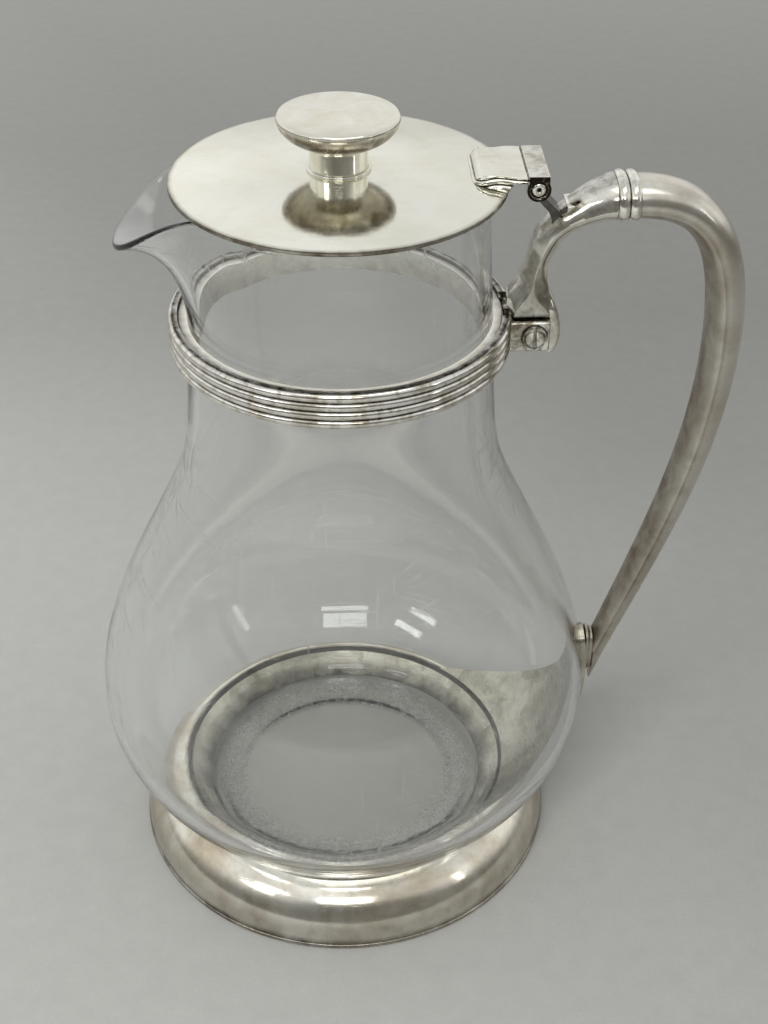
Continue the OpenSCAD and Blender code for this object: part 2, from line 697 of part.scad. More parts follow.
module knob_screw() {
    stud_r = 2;
    head_r = 3.6;
    head_h = 1.5;
    under_z = lid_mid_z - lid_t - lid_drop(head_r);
    color(silver) {
        translate([0, 0, under_z - head_h]) cylinder(r = head_r, h = head_h);
        translate([0, 0, under_z - over / 2]) cylinder(r = stud_r, h = lid_t + 6);
    }
}

glass_body();
foot_ring();
foot_wire();
foot_seat();
back_strap();
handle_lug();
grip_outer();
grip_inner();
handle_ring();
handle_bracket();
hinge_tongue();
collar_band();
collar_sleeve();
collar_ear_front();
collar_ear_rear();
clamp_screw();
lid_disc();
hinge_plate();
hinge_knuckle();
hinge_pin();
knob();
knob_ring();
knob_screw();
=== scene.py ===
"""The claret jug's looks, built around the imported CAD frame.

Lengths are in mm, and build() turns them into metres. Materials, floor, light and camera are in metres.
"""
import math

import bmesh
import bpy
import numpy as np
from mathutils import Matrix, Vector


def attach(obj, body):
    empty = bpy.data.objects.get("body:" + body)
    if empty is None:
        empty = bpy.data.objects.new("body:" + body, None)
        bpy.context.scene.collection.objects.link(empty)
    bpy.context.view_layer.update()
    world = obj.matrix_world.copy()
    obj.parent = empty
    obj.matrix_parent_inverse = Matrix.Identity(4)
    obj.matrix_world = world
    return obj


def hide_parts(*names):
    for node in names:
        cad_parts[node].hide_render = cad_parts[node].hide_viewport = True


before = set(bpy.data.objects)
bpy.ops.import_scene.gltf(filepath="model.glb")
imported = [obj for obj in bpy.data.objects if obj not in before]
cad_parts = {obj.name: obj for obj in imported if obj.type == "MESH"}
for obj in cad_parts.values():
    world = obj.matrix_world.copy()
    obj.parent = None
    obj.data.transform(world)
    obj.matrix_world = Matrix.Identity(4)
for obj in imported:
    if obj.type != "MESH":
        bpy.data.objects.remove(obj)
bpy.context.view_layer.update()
MM = 0.001

# ---------------------------------------------------------------- sizes, as in the CAD
BELLY_R, BELLY_Z = 81.4, 63.0
BASE_R, BASE_Z, BASE_T = 43.0, 7.5, 5.0
WAIST_R, WAIST_Z = 46.7, 168.0
RIM_R, RIM_Z, WALL = 42.0, 241.5, 3.0
REACH, DROP, HALF_ANGLE, SPOUT_Z = 64.0, 18.0, 40.0, 204.0
FOOT_R, FOOT_H, FOOT_T = 71.5, 20.0, 1.4
WIRE_H, WIRE_W, CUP_H = 1.8, 2.6, 7.5
STRAP_TOP, STRAP_T, STRAP_W, STRAP_FOOT_W = 76.5, 1.6, 10.0, 88.0
LUG_T, LUG_H = 2.2, 17.5
SLEEVE_T, COLLAR_Z, REEDS, PITCH, STRIP_T = 2.6, 191.0, 4, 2.7, 1.45
EAR_LEN, EAR_T, EAR_H, TONGUE_T = 10.9, 5.2, 9.6, 5.0
HEAD_R, HEAD_H = 4.2, 2.2
LID_R, LID_T, LID_RISE = 47.3, 1.3, 2.4
KNOB_R, KNOB_H, NECK_R, BOWL_H = 17.05, 15.3, 8.3, 8.8
PIN_OUT, PIN_UP, PIN_R, HINGE_W, TONGUE_W, EYE_R = 7.1, 1.0, 1.2, 22.0, 8.0, 2.6
KN_TOP, KN_W, PLATE_LEN, FLARE = 3.95, 5.8, 15.5, 1.2
LEG_W, LEG_FOOT_T, LEG_T, LIP_T, EAR_DROP, GROOVE, WEB = 10.6, 11.0, 6.6, 3.0, 1.3, 0.5, 1.4
GRIP_X, GRIP_W, GRIP_END_W, GRIP_OUT, GRIP_IN = 112.6, 17.5, 9.5, 7.0, 4.0
RING_X, RING_LEN, RING_DROP, PROUD = 80.5, 6.5, 8.0, 0.9
FIT, GAP = 0.08, 0.3

BALL_R = (LID_R ** 2 + LID_RISE ** 2) / (2 * LID_RISE)


def lid_drop(r):
    """How far the domed lid has fallen at a radius."""
    return BALL_R - math.sqrt(BALL_R ** 2 - r * r)


LID_MID = RIM_Z + GAP + LID_T + lid_drop(RIM_R - WALL / 2)
LID_EDGE = LID_MID - LID_RISE
PIN_X, PIN_Z = LID_R + PIN_OUT, LID_EDGE - LID_T + PIN_UP
PLATE_X = PIN_X - KN_W / 2 - GROOVE
RING_Z = PIN_Z - RING_DROP
JOIN_Z = COLLAR_Z + REEDS * PITCH / 2
REED_R = PITCH / 2
STRIP_R = RIM_R + (WAIST_R - RIM_R) * (RIM_Z - JOIN_Z) / (RIM_Z - WAIST_Z) + SLEEVE_T
REED_C = STRIP_R + STRIP_T
COLLAR_R = REED_C + REED_R
EAR_X = COLLAR_R + EAR_LEN
EAR_W = TONGUE_T + 2 * EAR_T
EAR_Z = COLLAR_Z - EAR_DROP
SCREW_X, SCREW_Z = EAR_X - HEAD_R - 0.5, EAR_Z + 0.52 * EAR_H


# ---------------------------------------------------------------- curves
def bezier(p, n, first=0):
    """n steps along a cubic curve, from its step first on."""
    p = np.array(p, float)
    t = np.linspace(0, 1, n + 1)[first:, None]
    return (1 - t) ** 3 * p[0] + 3 * (1 - t) ** 2 * t * p[1] + 3 * (1 - t) * t * t * p[2] + t ** 3 * p[3]


def tangents(pts):
    """Unit directions along a run of points."""
    pts = np.asarray(pts, float)
    d = np.empty_like(pts)
    d[1:-1] = pts[2:] - pts[:-2]
    d[0], d[-1] = pts[1] - pts[0], pts[-1] - pts[-2]
    return d / np.linalg.norm(d, axis=1)[:, None]


def beside(pts, d):
    """The points moved by d to the left of their run."""
    a = tangents(pts)
    return np.asarray(pts, float) + d * np.stack([-a[:, 1], a[:, 0]], 1)


def smooth(x, a, b):
    """An eased step from 0 at a to 1 at b."""
    t = min(1.0, max(0.0, (x - a) / (b - a)))
    return t * t * (3 - 2 * t)


belly = bezier([[BASE_R, BASE_Z], [BASE_R + .29 * (BELLY_R - BASE_R), BASE_Z + .145 * (BELLY_Z - BASE_Z)],
                [BELLY_R, BELLY_Z - .45 * (BELLY_Z - BASE_Z)], [BELLY_R, BELLY_Z]], 40)
shoulder = bezier([[BELLY_R, BELLY_Z], [BELLY_R, BELLY_Z + .366 * (WAIST_Z - BELLY_Z)],
                   [WAIST_R - .7, WAIST_Z - .29 * (WAIST_Z - BELLY_Z)], [WAIST_R, WAIST_Z]], 40, 1)
NECK_STEPS, BEND_REACH, BEND_ROUNDS = 30, 16, 12
neck_line = [[WAIST_R + (RIM_R - WAIST_R) * k / NECK_STEPS, WAIST_Z + (RIM_Z - WAIST_Z) * k / NECK_STEPS]
             for k in range(1, NECK_STEPS + 1)]
side = np.vstack([belly, shoulder, neck_line])
# the corner at the waist is eased
bend = [i for i, p in enumerate(side[:-1]) if abs(p[1] - WAIST_Z) < BEND_REACH]
for _ in range(BEND_ROUNDS):
    side[bend, 0] = [(side[i - 1, 0] + 2 * side[i, 0] + side[i + 1, 0]) / 4 for i in bend]


def glass_r(z):
    """The glass's outer radius at a height."""
    return float(np.interp(z, side[:, 1], side[:, 0]))


def skin(z0, z1, d, n=24):
    """The glass's outer profile between two heights, moved out by d."""
    z = np.linspace(z0, z1, n + 1)
    return beside(np.stack([[glass_r(v) for v in z], z], 1), -d)


# ---------------------------------------------------------------- mesh helpers
def build(name, verts, faces, mat, body, angle=38.0, scale=MM, stage=False, grime_and_shade=None):
    """A mesh object with smooth shading up to that angle. grime_and_shade is one number per vertex, for dirt
    and painted shade.
    """
    mesh = bpy.data.meshes.new(name)
    mesh.from_pydata([tuple(v) for v in verts], [], [tuple(f) for f in faces])
    if grime_and_shade is not None:
        layer = mesh.attributes.new("grime_and_shade", "FLOAT", "POINT")
        layer.data.foreach_set("value", [float(g) for g in grime_and_shade])
    bm = bmesh.new()
    bm.from_mesh(mesh)
    bmesh.ops.scale(bm, vec=(scale, scale, scale), verts=bm.verts)
    bmesh.ops.remove_doubles(bm, verts=bm.verts, dist=2e-6)
    bmesh.ops.recalc_face_normals(bm, faces=bm.faces)
    for f in bm.faces:
        f.smooth = True
    for e in bm.edges:
        if len(e.link_faces) == 2 and e.calc_face_angle() > math.radians(angle):
            e.smooth = False
    bm.to_mesh(mesh)
    bm.free()
    obj = bpy.data.objects.new(name, mesh)
    bpy.context.scene.collection.objects.link(obj)
    obj.data.materials.append(mat)
    if not stage:
        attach(obj, body)
    return obj


def bevel(obj, width, segments=3, angle=30):
    """Rounds the edges sharper than that angle."""
    m = obj.modifiers.new("bevel", "BEVEL")
    m.width = width * MM
    m.segments = segments
    m.limit_method = "ANGLE"
    m.angle_limit = math.radians(angle)
    m.harden_normals = False
    for p in obj.data.polygons:
        p.use_smooth = True
    obj.modifiers.new("normals", "WEIGHTED_NORMAL").keep_sharp = False


def clean_faces(verts, faces):
    """Faces without the corners that fall on the same point."""
    out = []
    for f in faces:
        keep = []
        for i in f:
            v = verts[i]
            if not keep or any(abs(v[k] - verts[keep[-1]][k]) > 1e-6 for k in range(3)):
                keep.append(i)
        if len(keep) > 1 and all(abs(verts[keep[0]][k] - verts[keep[-1]][k]) < 1e-6 for k in range(3)):
            keep.pop()
        if len(keep) > 2:
            out.append(tuple(keep))
    return out


def revolve(profile, n=192, start=0.0, end=360.0, grime_and_shade=None):
    """Verts, faces and grime_and_shade numbers of a closed profile turned about Z. A part turn is capped."""
    profile = [(max(float(r), 0.0), float(z)) for r, z in profile]
    full = abs(end - start - 360) < 1e-6
    cols = n if full else n + 1
    m = len(profile)
    verts, faces = [], []
    for c in range(cols):
        a = math.radians(start + (end - start) * c / n)
        verts += [(r * math.cos(a), r * math.sin(a), z) for r, z in profile]
    for c in range(n):
        c2 = (c + 1) % cols
        for k in range(m):
            k2 = (k + 1) % m
            faces.append((c * m + k, c * m + k2, c2 * m + k2, c2 * m + k))
    if not full:
        faces.append(tuple(range(m)))
        faces.append(tuple((cols - 1) * m + k for k in range(m)))
    return verts, clean_faces(verts, faces), None if grime_and_shade is None else list(grime_and_shade) * cols


def turned(name, profile, mat, body, n=192, angle=38.0, grime_and_shade=None, **span):
    """A piece turned about the jug's axis, with one grime_and_shade number per point of its profile, for dirt
    and painted shade.
    """
    verts, faces, grime_and_shade = revolve(profile, n, grime_and_shade=grime_and_shade, **span)
    return build(name, verts, faces, mat, body, angle, grime_and_shade=grime_and_shade)


def loft(sections):
    """Verts and faces of a skin over sections with as many points each, closed at both ends."""
    n = len(sections[0])
    verts = [tuple(p) for s in sections for p in s]
    faces = []
    for i in range(len(sections) - 1):
        for k in range(n):
            k2 = (k + 1) % n
            faces.append((i * n + k, i * n + k2, (i + 1) * n + k2, (i + 1) * n + k))
    faces.append(tuple(range(n)))
    faces.append(tuple((len(sections) - 1) * n + k for k in range(n)))
    return verts, faces


def slab(outline, y0, y1):
    """An outline in X and Z pushed through from y0 to y1."""
    n = len(outline)
    verts = [(x, y0, z) for x, z in outline] + [(x, y1, z) for x, z in outline]
    faces = [tuple(range(n)), tuple(range(2 * n - 1, n - 1, -1))]
    faces += [(k, (k + 1) % n, n + (k + 1) % n, n + k) for k in range(n)]
    return verts, faces


def cut(obj, tools):
    """Cuts closed meshes out of an object for good."""
    for verts, faces in tools:
        mesh = bpy.data.meshes.new("tool")
        mesh.from_pydata([tuple(c * MM for c in p) for p in verts], [], faces)
        bm = bmesh.new()
        bm.from_mesh(mesh)
        bmesh.ops.remove_doubles(bm, verts=bm.verts, dist=2e-6)
        bmesh.ops.recalc_face_normals(bm, faces=bm.faces)
        bm.to_mesh(mesh)
        bm.free()
        tool = bpy.data.objects.new("tool", mesh)
        bpy.context.scene.collection.objects.link(tool)
        mod = obj.modifiers.new("cut", "BOOLEAN")
        mod.operation = "DIFFERENCE"
        mod.object = tool
        mod.solver = "EXACT"
        graph = bpy.context.evaluated_depsgraph_get()
        done = bpy.data.meshes.new_from_object(obj.evaluated_get(graph))
        mats = list(obj.data.materials)
        obj.modifiers.clear()
        obj.data = done
        done.materials.clear()
        for m in mats:
            done.materials.append(m)
        bpy.data.objects.remove(tool)


def paint(obj, rule):
    """Gives each face its dirt and painted shade, by a rule on its centre in mm and its normal."""
    mesh = obj.data
    if "grime_and_shade" in mesh.attributes:
        mesh.attributes.remove(mesh.attributes["grime_and_shade"])
    layer = mesh.attributes.new("grime_and_shade", "FLOAT", "FACE")
    layer.data.foreach_set("value", [float(rule(p.center / MM, p.normal)) for p in mesh.polygons])


def rod(r, y0, y1, cx, cz, n=48):
    """A closed cylinder along Y."""
    ring = [(cx + r * math.cos(2 * math.pi * k / n), cz + r * math.sin(2 * math.pi * k / n))
            for k in range(n)]
    return slab(ring, y0, y1)


def arc(cx, cz, r, a0, a1, n=12):
    """Points on a circle from angle a0 to a1, in degrees."""
    return [(cx + r * math.cos(math.radians(a0 + (a1 - a0) * i / n)),
             cz + r * math.sin(math.radians(a0 + (a1 - a0) * i / n))) for i in range(n + 1)]


# ---------------------------------------------------------------- materials
class Nodes:
    """Short ways to add nodes to a tree."""

    def __init__(self, tree, coord="Object"):
        self.t = tree
        self.coord = tree.nodes.new("ShaderNodeTexCoord").outputs[coord]

    def new(self, kind, **inputs):
        n = self.t.nodes.new(kind)
        for k, v in inputs.items():
            self.put(n, k.replace("_", " "), v)
        return n

    def put(self, n, key, v):
        sock = n.inputs[key]
        if isinstance(v, bpy.types.NodeSocket):
            self.t.links.new(v, sock)
        else:
            sock.default_value = v

    def stretch(self, sx, sy, sz, turn=(0, 0, 0)):
        n = self.new("ShaderNodeMapping", Vector=self.coord, Scale=(sx, sy, sz),
                     Rotation=[math.radians(a) for a in turn])
        return n.outputs["Vector"]

    def xyz(self):
        return self.new("ShaderNodeSeparateXYZ", Vector=self.coord).outputs

    def length(self, vector):
        n = self.new("ShaderNodeVectorMath", Vector=vector)
        n.operation = "LENGTH"
        return n.outputs["Value"]

    def noise(self, scale, detail=3.0, rough=0.55, vector=None, distort=0.0):
        n = self.new("ShaderNodeTexNoise", Vector=vector or self.coord, Scale=scale, Detail=detail,
                     Roughness=rough, Distortion=distort)
        return n.outputs["Fac"]

    def ramp(self, fac, stops):
        n = self.new("ShaderNodeValToRGB", Fac=fac)
        e = n.color_ramp.elements
        e[0].position, e[-1].position = stops[0][0], stops[-1][0]
        for pos, _ in stops[1:-1]:
            e.new(pos)
        for el, (_, col) in zip(e, stops):
            el.color = (col, col, col, 1) if isinstance(col, (int, float)) else (*col, 1)
        return n.outputs["Color"]

    def math(self, op, a, b, clamp=False):
        n = self.t.nodes.new("ShaderNodeMath")
        n.operation = op
        n.use_clamp = clamp
        self.put(n, 0, a)
        self.put(n, 1, b)
        return n.outputs[0]

    def mix(self, fac, a, b, mode="MIX"):
        n = self.t.nodes.new("ShaderNodeMix")
        n.data_type = "RGBA"
        n.blend_type = mode
        for i, v in ((0, fac), (6, a), (7, b)):
            self.put(n, i, (*v, 1) if isinstance(v, tuple) else v)
        return n.outputs[2]

    def bump(self, height, strength, dist, normal=None):
        n = self.new("ShaderNodeBump", Height=height, Strength=strength, Distance=dist)
        if normal is not None:
            self.t.links.new(normal, n.inputs["Normal"])
        return n.outputs["Normal"]


class Material(Nodes):
    """A material with its node helpers."""

    def __init__(self, name):
        self.mat = bpy.data.materials.new(name)
        self.mat.use_nodes = True
        super().__init__(self.mat.node_tree)
        self.bsdf = self.t.nodes["Principled BSDF"]


def silver(name, tint, stain, rough, patch, dirt_and_shade=(0.10, 0.085, 0.065), scratch=0.15, blotch=70.0, dents=0.0,
           crevice=0.9, reach=0.0016, mottle=0.3, metal=1.0):
    """Silver plate: patches of tarnish, hair scratches, dirt in its corners, and dirt and painted shade from
    the grime_and_shade attribute, in the dirt_and_shade colour.

    blotch is the scale of the patches, patch and mottle how strong the wide and the small ones are, and reach
    how far into a corner the dirt lies, in metres.
    """
    m = Material(name)
    cloud = m.noise(blotch, 5.0, 0.62, distort=0.6)
    patchy = m.noise(blotch * 3.4, 4.0, 0.60, distort=0.3)
    fine = m.noise(blotch * 11, 4.0, 0.6)
    tarnish = m.math("MULTIPLY", m.ramp(cloud, [(0.42, 0.0), (0.70, 1.0)]), patch)
    colour = m.mix(tarnish, tint, stain)
    colour = m.mix(m.math("MULTIPLY", m.ramp(patchy, [(0.50, 0.0), (0.66, 1.0)]), mottle), colour, stain)
    speck = m.ramp(fine, [(0.60, 0.0), (0.76, 1.0)])
    colour = m.mix(m.math("MULTIPLY", speck, 0.5 * mottle), colour, stain)
    hair1 = m.noise(60.0, 2.0, 0.5, m.stretch(1.0, 60.0, 40.0, (0, 0, 24)))
    hair2 = m.noise(55.0, 2.0, 0.5, m.stretch(50.0, 1.2, 40.0, (0, 0, -38)))
    hairs = m.math("ADD", m.ramp(hair1, [(0.60, 0.0), (0.70, 1.0)]),
                   m.ramp(hair2, [(0.62, 0.0), (0.72, 1.0)]))
    hollow = m.new("ShaderNodeAmbientOcclusion", Distance=reach)
    hollow.only_local = True
    hollow.samples = 8
    corner = m.ramp(hollow.outputs["AO"], [(0.30, 1.0), (0.86, 0.0)])
    uneven = m.math("ADD", m.math("MULTIPLY", patchy, 0.7), crevice - 0.35, clamp=True)
    corner = m.math("MULTIPLY", corner, uneven)
    # the grime_and_shade attribute holds dirt and painted shade; both darken the silver towards the
    # dirt_and_shade colour
    grime_and_shade = m.t.nodes.new("ShaderNodeAttribute")
    grime_and_shade.attribute_name = "grime_and_shade"
    marked = m.math("MULTIPLY", grime_and_shade.outputs["Fac"], m.math("ADD", m.math("MULTIPLY", patchy, 1.7), 0.10))
    dark = m.math("MAXIMUM", corner, marked, clamp=True)
    colour = m.mix(dark, colour, dirt_and_shade)
    m.put(m.bsdf, "Base Color", colour)
    m.put(m.bsdf, "Metallic", metal)
    base = m.math("ADD", m.math("MULTIPLY", cloud, rough[1] - rough[0]), rough[0])
    base = m.math("ADD", base, m.math("MULTIPLY", hairs, scratch * 0.4))
    base = m.math("ADD", base, m.math("MULTIPLY", dark, 0.25), clamp=True)
    m.put(m.bsdf, "Roughness", base)
    n1 = m.bump(hairs, scratch, 0.00002)
    n2 = m.bump(fine, 0.12, 0.00005, n1)
    if dents:
        n2 = m.bump(m.noise(38.0, 2.0, 0.5), dents, 0.0006, n2)
    m.put(m.bsdf, "Normal", n2)
    return m.mat


def glass_material(name):
    """Clear blown glass: slightly wavy, with fine wiping scratches and a worn ring under its base."""
    m = Material(name)
    m.put(m.bsdf, "Base Color", (0.986, 0.994, 0.99, 1))
    line1 = m.noise(30.0, 3.0, 0.6, m.stretch(1.0, 1.0, 30.0, (14, 8, 0)), distort=0.3)
    line2 = m.noise(26.0, 3.0, 0.6, m.stretch(24.0, 1.0, 1.6, (0, 30, 14)), distort=0.3)
    line3 = m.noise(26.0, 3.0, 0.6, m.stretch(1.4, 20.0, 2.0, (20, -25, 40)), distort=0.3)
    lines = m.math("MAXIMUM", m.ramp(line1, [(0.64, 0.0), (0.67, 1.0)]),
                   m.ramp(line2, [(0.65, 0.0), (0.68, 1.0)]))
    lines = m.math("MAXIMUM", lines, m.ramp(line3, [(0.65, 0.0), (0.68, 1.0)]))
    wear = m.math("MULTIPLY", lines, m.ramp(m.noise(14.0, 2.0, 0.5), [(0.40, 0.0), (0.60, 1.0)]))
    x, y, z = m.xyz()
    radius = m.length(m.new("ShaderNodeCombineXYZ", X=x, Y=y).outputs[0])
    # the ramps of the worn ring read decimetres
    ring = m.ramp(m.math("MULTIPLY", radius, 10), [(0.34, 0.0), (0.37, 1.0), (0.45, 1.0), (0.475, 0.0)])
    ring = m.math("MULTIPLY", ring, m.ramp(m.math("MULTIPLY", z, 10), [(0.135, 1.0), (0.16, 0.0)]))
    marked = m.math("MULTIPLY", ring, m.ramp(m.noise(420.0, 3.0, 0.7), [(0.46, 0.0), (0.62, 1.0)]))
    frost = m.math("MAXIMUM", m.math("MULTIPLY", wear, 0.22), m.math("MULTIPLY", marked, 0.5))
    m.put(m.bsdf, "Roughness", frost)
    m.put(m.bsdf, "IOR", 1.48)
    m.put(m.bsdf, "Transmission Weight", 1.0)
    wave = m.noise(26.0, 2.0, 0.45, m.stretch(1, 1, 0.55))
    m.put(m.bsdf, "Normal", m.bump(wear, 0.12, 0.00005, m.bump(wave, 0.22, 0.0006)))
    return m.mat


LID = silver("silver_lid", (0.89, 0.885, 0.80), (0.70, 0.67, 0.50), rough=(0.07, 0.12), patch=0.35,
             dirt_and_shade=(0.12, 0.09, 0.06), scratch=0.12, blotch=42.0, mottle=0.16, crevice=0.5)
PLATE = silver("silver_plate", (0.88, 0.87, 0.79), (0.52, 0.46, 0.32), rough=(0.10, 0.18), patch=0.3,
               dirt_and_shade=(0.05, 0.04, 0.028), mottle=0.2)
KNOB = silver("silver_knob", (0.88, 0.87, 0.79), (0.62, 0.55, 0.38), rough=(0.05, 0.12), patch=0.4,
              dirt_and_shade=(0.16, 0.125, 0.08), mottle=0.15)
FOOT = silver("silver_foot", (0.90, 0.885, 0.80), (0.53, 0.455, 0.33), rough=(0.08, 0.18), patch=1.0,
              dirt_and_shade=(0.06, 0.045, 0.03), blotch=34.0, dents=0.14, mottle=0.35)
CUP = silver("silver_cup", (0.58, 0.56, 0.47), (0.20, 0.18, 0.125), rough=(0.14, 0.35), patch=0.9,
             dirt_and_shade=(0.05, 0.048, 0.038), blotch=44.0, mottle=0.5)
EAR = silver("silver_ear", (0.92, 0.91, 0.84), (0.16, 0.13, 0.08), rough=(0.08, 0.22), patch=1.1,
             dirt_and_shade=(0.03, 0.025, 0.018), blotch=150.0, mottle=0.9, reach=0.0022)
GRIP = silver("silver_grip", (0.74, 0.72, 0.65), (0.46, 0.38, 0.29), rough=(0.15, 0.28), patch=0.8,
              dirt_and_shade=(0.17, 0.13, 0.09), scratch=0.05, blotch=34.0, dents=0.06, mottle=0.18)
BRACKET = silver("silver_bracket", (0.92, 0.91, 0.84), (0.30, 0.25, 0.17), rough=(0.05, 0.16), patch=0.6,
                 dirt_and_shade=(0.022, 0.018, 0.012), blotch=90.0, mottle=0.4, reach=0.0022)
REED = silver("silver_reeds", (0.92, 0.91, 0.86), (0.40, 0.34, 0.24), rough=(0.05, 0.14), patch=0.7,
              dirt_and_shade=(0.02, 0.016, 0.012), blotch=110.0, mottle=0.6, reach=0.0012)
SLEEVE = silver("silver_sleeve", (0.95, 0.94, 0.86), (0.72, 0.64, 0.48), rough=(0.18, 0.30), patch=0.3,
                mottle=0.15, metal=0.35)
# a dark metal for the hinge tongue, which is dark all over
DARK = silver("dark_metal", (0.15, 0.145, 0.13), (0.04, 0.035, 0.03), rough=(0.15, 0.30), patch=0.9,
              mottle=0.6)
GLASS = glass_material("clear_glass")

# ---------------------------------------------------------------- glass
ROWS, COLS = 150, 240
RIM_WALL = 2.4
LIP_R = RIM_WALL / 2
RIM_LOW = RIM_Z - LIP_R             # where the rim's rounding starts
THINNING = 165, 225                 # heights between which the wall goes from WALL to RIM_WALL
SPREAD = 1.3                        # how far the lip's flank eases out, as a share of its half angle
TIP_SLIM = .35                      # how much thinner the wall is at the tip
INNER_TOP = 160                     # up to here the inner wall is a plain turned profile
LIP_ROOT = SPOUT_Z - 6              # where the lip starts to reach out


def lip_share(a):
    """How much of the lip's reach a direction has, from 1 at the tip to 0 at its flanks."""
    b = a - 360 if a > 180 else a
    wide = HALF_ANGLE * SPREAD
    return 1 - (1 - math.cos(math.radians(90 * b / wide)) ** 3) ** 1.35 if abs(b) < wide else 0.0


def lip_pull(z):
    """How much of the lip's reach a height has, from 0 at its root to 1 at the rim."""
    return max(0.0, (z - LIP_ROOT) / (RIM_Z - LIP_ROOT)) ** 2


def glass_skin(a, z):
    """A point of the outer surface."""
    s, g = lip_share(a), lip_pull(z)
    r = glass_r(z) + (REACH - RIM_R) * s * g
    drop = DROP * s ** 1.9 * g ** 1.5
    return np.array([-r * math.cos(math.radians(a)), -r * math.sin(math.radians(a)), z - drop])


def glass_point(a, r, z, d, rise=0.0):
    """Outer rows turn r and z; rows with a depth d go in along the surface's own normal."""
    slim = 1 - TIP_SLIM * lip_share(a) * lip_pull(z)
    d, rise = d * slim, rise * slim
    if d == 0 and z < LIP_ROOT - 2:
        return (-r * math.cos(math.radians(a)), -r * math.sin(math.radians(a)), z)
    p = glass_skin(a, z)
    if d == 0 and rise == 0:
        return tuple(p)
    climb = glass_skin(a, z) - glass_skin(a, z - .4)
    around = glass_skin(a + .4, z) - glass_skin(a - .4, z)
    climb /= np.linalg.norm(climb)
    outward = np.cross(around, climb)
    outward /= np.linalg.norm(outward)
    return tuple(p - outward * d + climb * rise)


def wall_at(z):
    """The wall's thickness at a height."""
    return RIM_WALL + (WALL - RIM_WALL) * (1 - smooth(z, *THINNING))


# rows of radius, height and depth, from the middle of the base round the rim to the middle of the inside
base = [(0.0, BASE_Z + 1.3, 0.0), (20.0, BASE_Z + 1.25, 0.0), (BASE_R - 9, BASE_Z + 1.1, 0.0),
        (BASE_R - 6.5, BASE_Z + .9, 0.0), (BASE_R - 5, BASE_Z + .4, 0.0), (BASE_R - 3.8, BASE_Z + .06, 0.0),
        (BASE_R - 1.4, BASE_Z, 0.0), (BASE_R - .5, BASE_Z + .12, 0.0), (BASE_R + .55, BASE_Z + .55, 0.0)]
outer = [(glass_r(z), z, 0.0) for z in list(np.linspace(BASE_Z + 1.2, RIM_LOW - .25, ROWS)) + [RIM_LOW]]
rim = [(0.0, RIM_LOW, LIP_R - LIP_R * math.cos(b), LIP_R * math.sin(b))
       for b in np.radians(np.linspace(0, 180, 11)[1:-1])]
inner = [(glass_r(z), z, wall_at(z)) for z in [RIM_LOW] + list(np.linspace(RIM_LOW - .25, 162, ROWS // 2))]
inner_low = [p for p in beside(side[:-1], WALL) if BASE_Z + BASE_T + WALL + 1.2 < p[1] < INNER_TOP]
corner_r, inside_z = inner_low[0][0], BASE_Z + BASE_T
hollow = bezier([[corner_r - 12.5, inside_z], [corner_r - 6.5, inside_z], [corner_r - 2.9, inside_z + .9],
                 inner_low[0]], 16)
low = [(float(r), float(z), 0.0) for r, z in inner_low[::-1] + list(hollow[:-1])[::-1]]
low += [(corner_r - 14.3, inside_z + .25, 0.0), (corner_r - 17, inside_z + .1, 0.0),
        (18.0, inside_z - .25, 0.0), (0.0, inside_z - .35, 0.0)]
section = base + outer + rim + inner + low
M = len(section)
gverts = [glass_point(c * 360 / COLS, *row) for c in range(COLS) for row in section]
gfaces = []
for c in range(COLS):
    c2 = (c + 1) % COLS
    for k in range(M - 1):
        gfaces.append((c * M + k, c * M + k + 1, c2 * M + k + 1, c2 * M + k))
glass = build("glass_jug", gverts, clean_faces(gverts, gfaces), GLASS, "jug", angle=80)
glass.visible_shadow = False
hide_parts("glass_body")


def dress(obj, *names, slot="silver"):
    """Puts the piece in the place of those CAD nodes."""
    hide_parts(*names)
    return obj


# ---------------------------------------------------------------- foot
foot_top_r = glass_r(FOOT_H) + FIT
foot_curve = bezier([[FOOT_R, WIRE_H], [FOOT_R, .52 * FOOT_H], [FOOT_R - 5.5, .86 * FOOT_H],
                     [foot_top_r + FOOT_T, FOOT_H]], 40)
foot_in = beside(foot_curve, FOOT_T)
foot_prof = [tuple(p) for p in foot_curve] + [(foot_top_r + .2, FOOT_H), (foot_top_r, FOOT_H - .25)] + \
            [tuple(p) for p in foot_in[::-1]]
foot_g = [max(.28 * (1 - smooth(z, 7, 12)), .9 - .25 * (z - WIRE_H)) for _, z in foot_curve] + [.8, .9] + \
         [.3] * len(foot_in)
dress(turned("foot_shell", foot_prof, FOOT, "jug", 256, grime_and_shade=foot_g), "foot_ring")
wr = WIRE_H / 2
wire_x = FOOT_R + .4
wire_prof = [(wire_x - WIRE_W, 0), (wire_x - wr, 0)] + arc(wire_x - wr, wr, wr, -90, 90, 10)[1:] + \
            [(wire_x - WIRE_W, WIRE_H)]
dress(turned("foot_bead", wire_prof, FOOT, "jug", 256, grime_and_shade=[.6] * len(wire_prof)), "foot_wire")
seat_out = skin(FOOT_H - CUP_H, FOOT_H - 1.3, FIT + FOOT_T, 24)
seat_in = skin(FOOT_H - CUP_H, FOOT_H - 1.3, FIT, 24)
seat_prof = [tuple(p) for p in seat_out] + [tuple(p) for p in seat_in[::-1]]
cup_g = [max(0.0, 1 - i / 17) for i in range(25)]
dress(turned("foot_cup", seat_prof, CUP, "jug", 192, grime_and_shade=cup_g + cup_g[::-1]), "foot_seat")

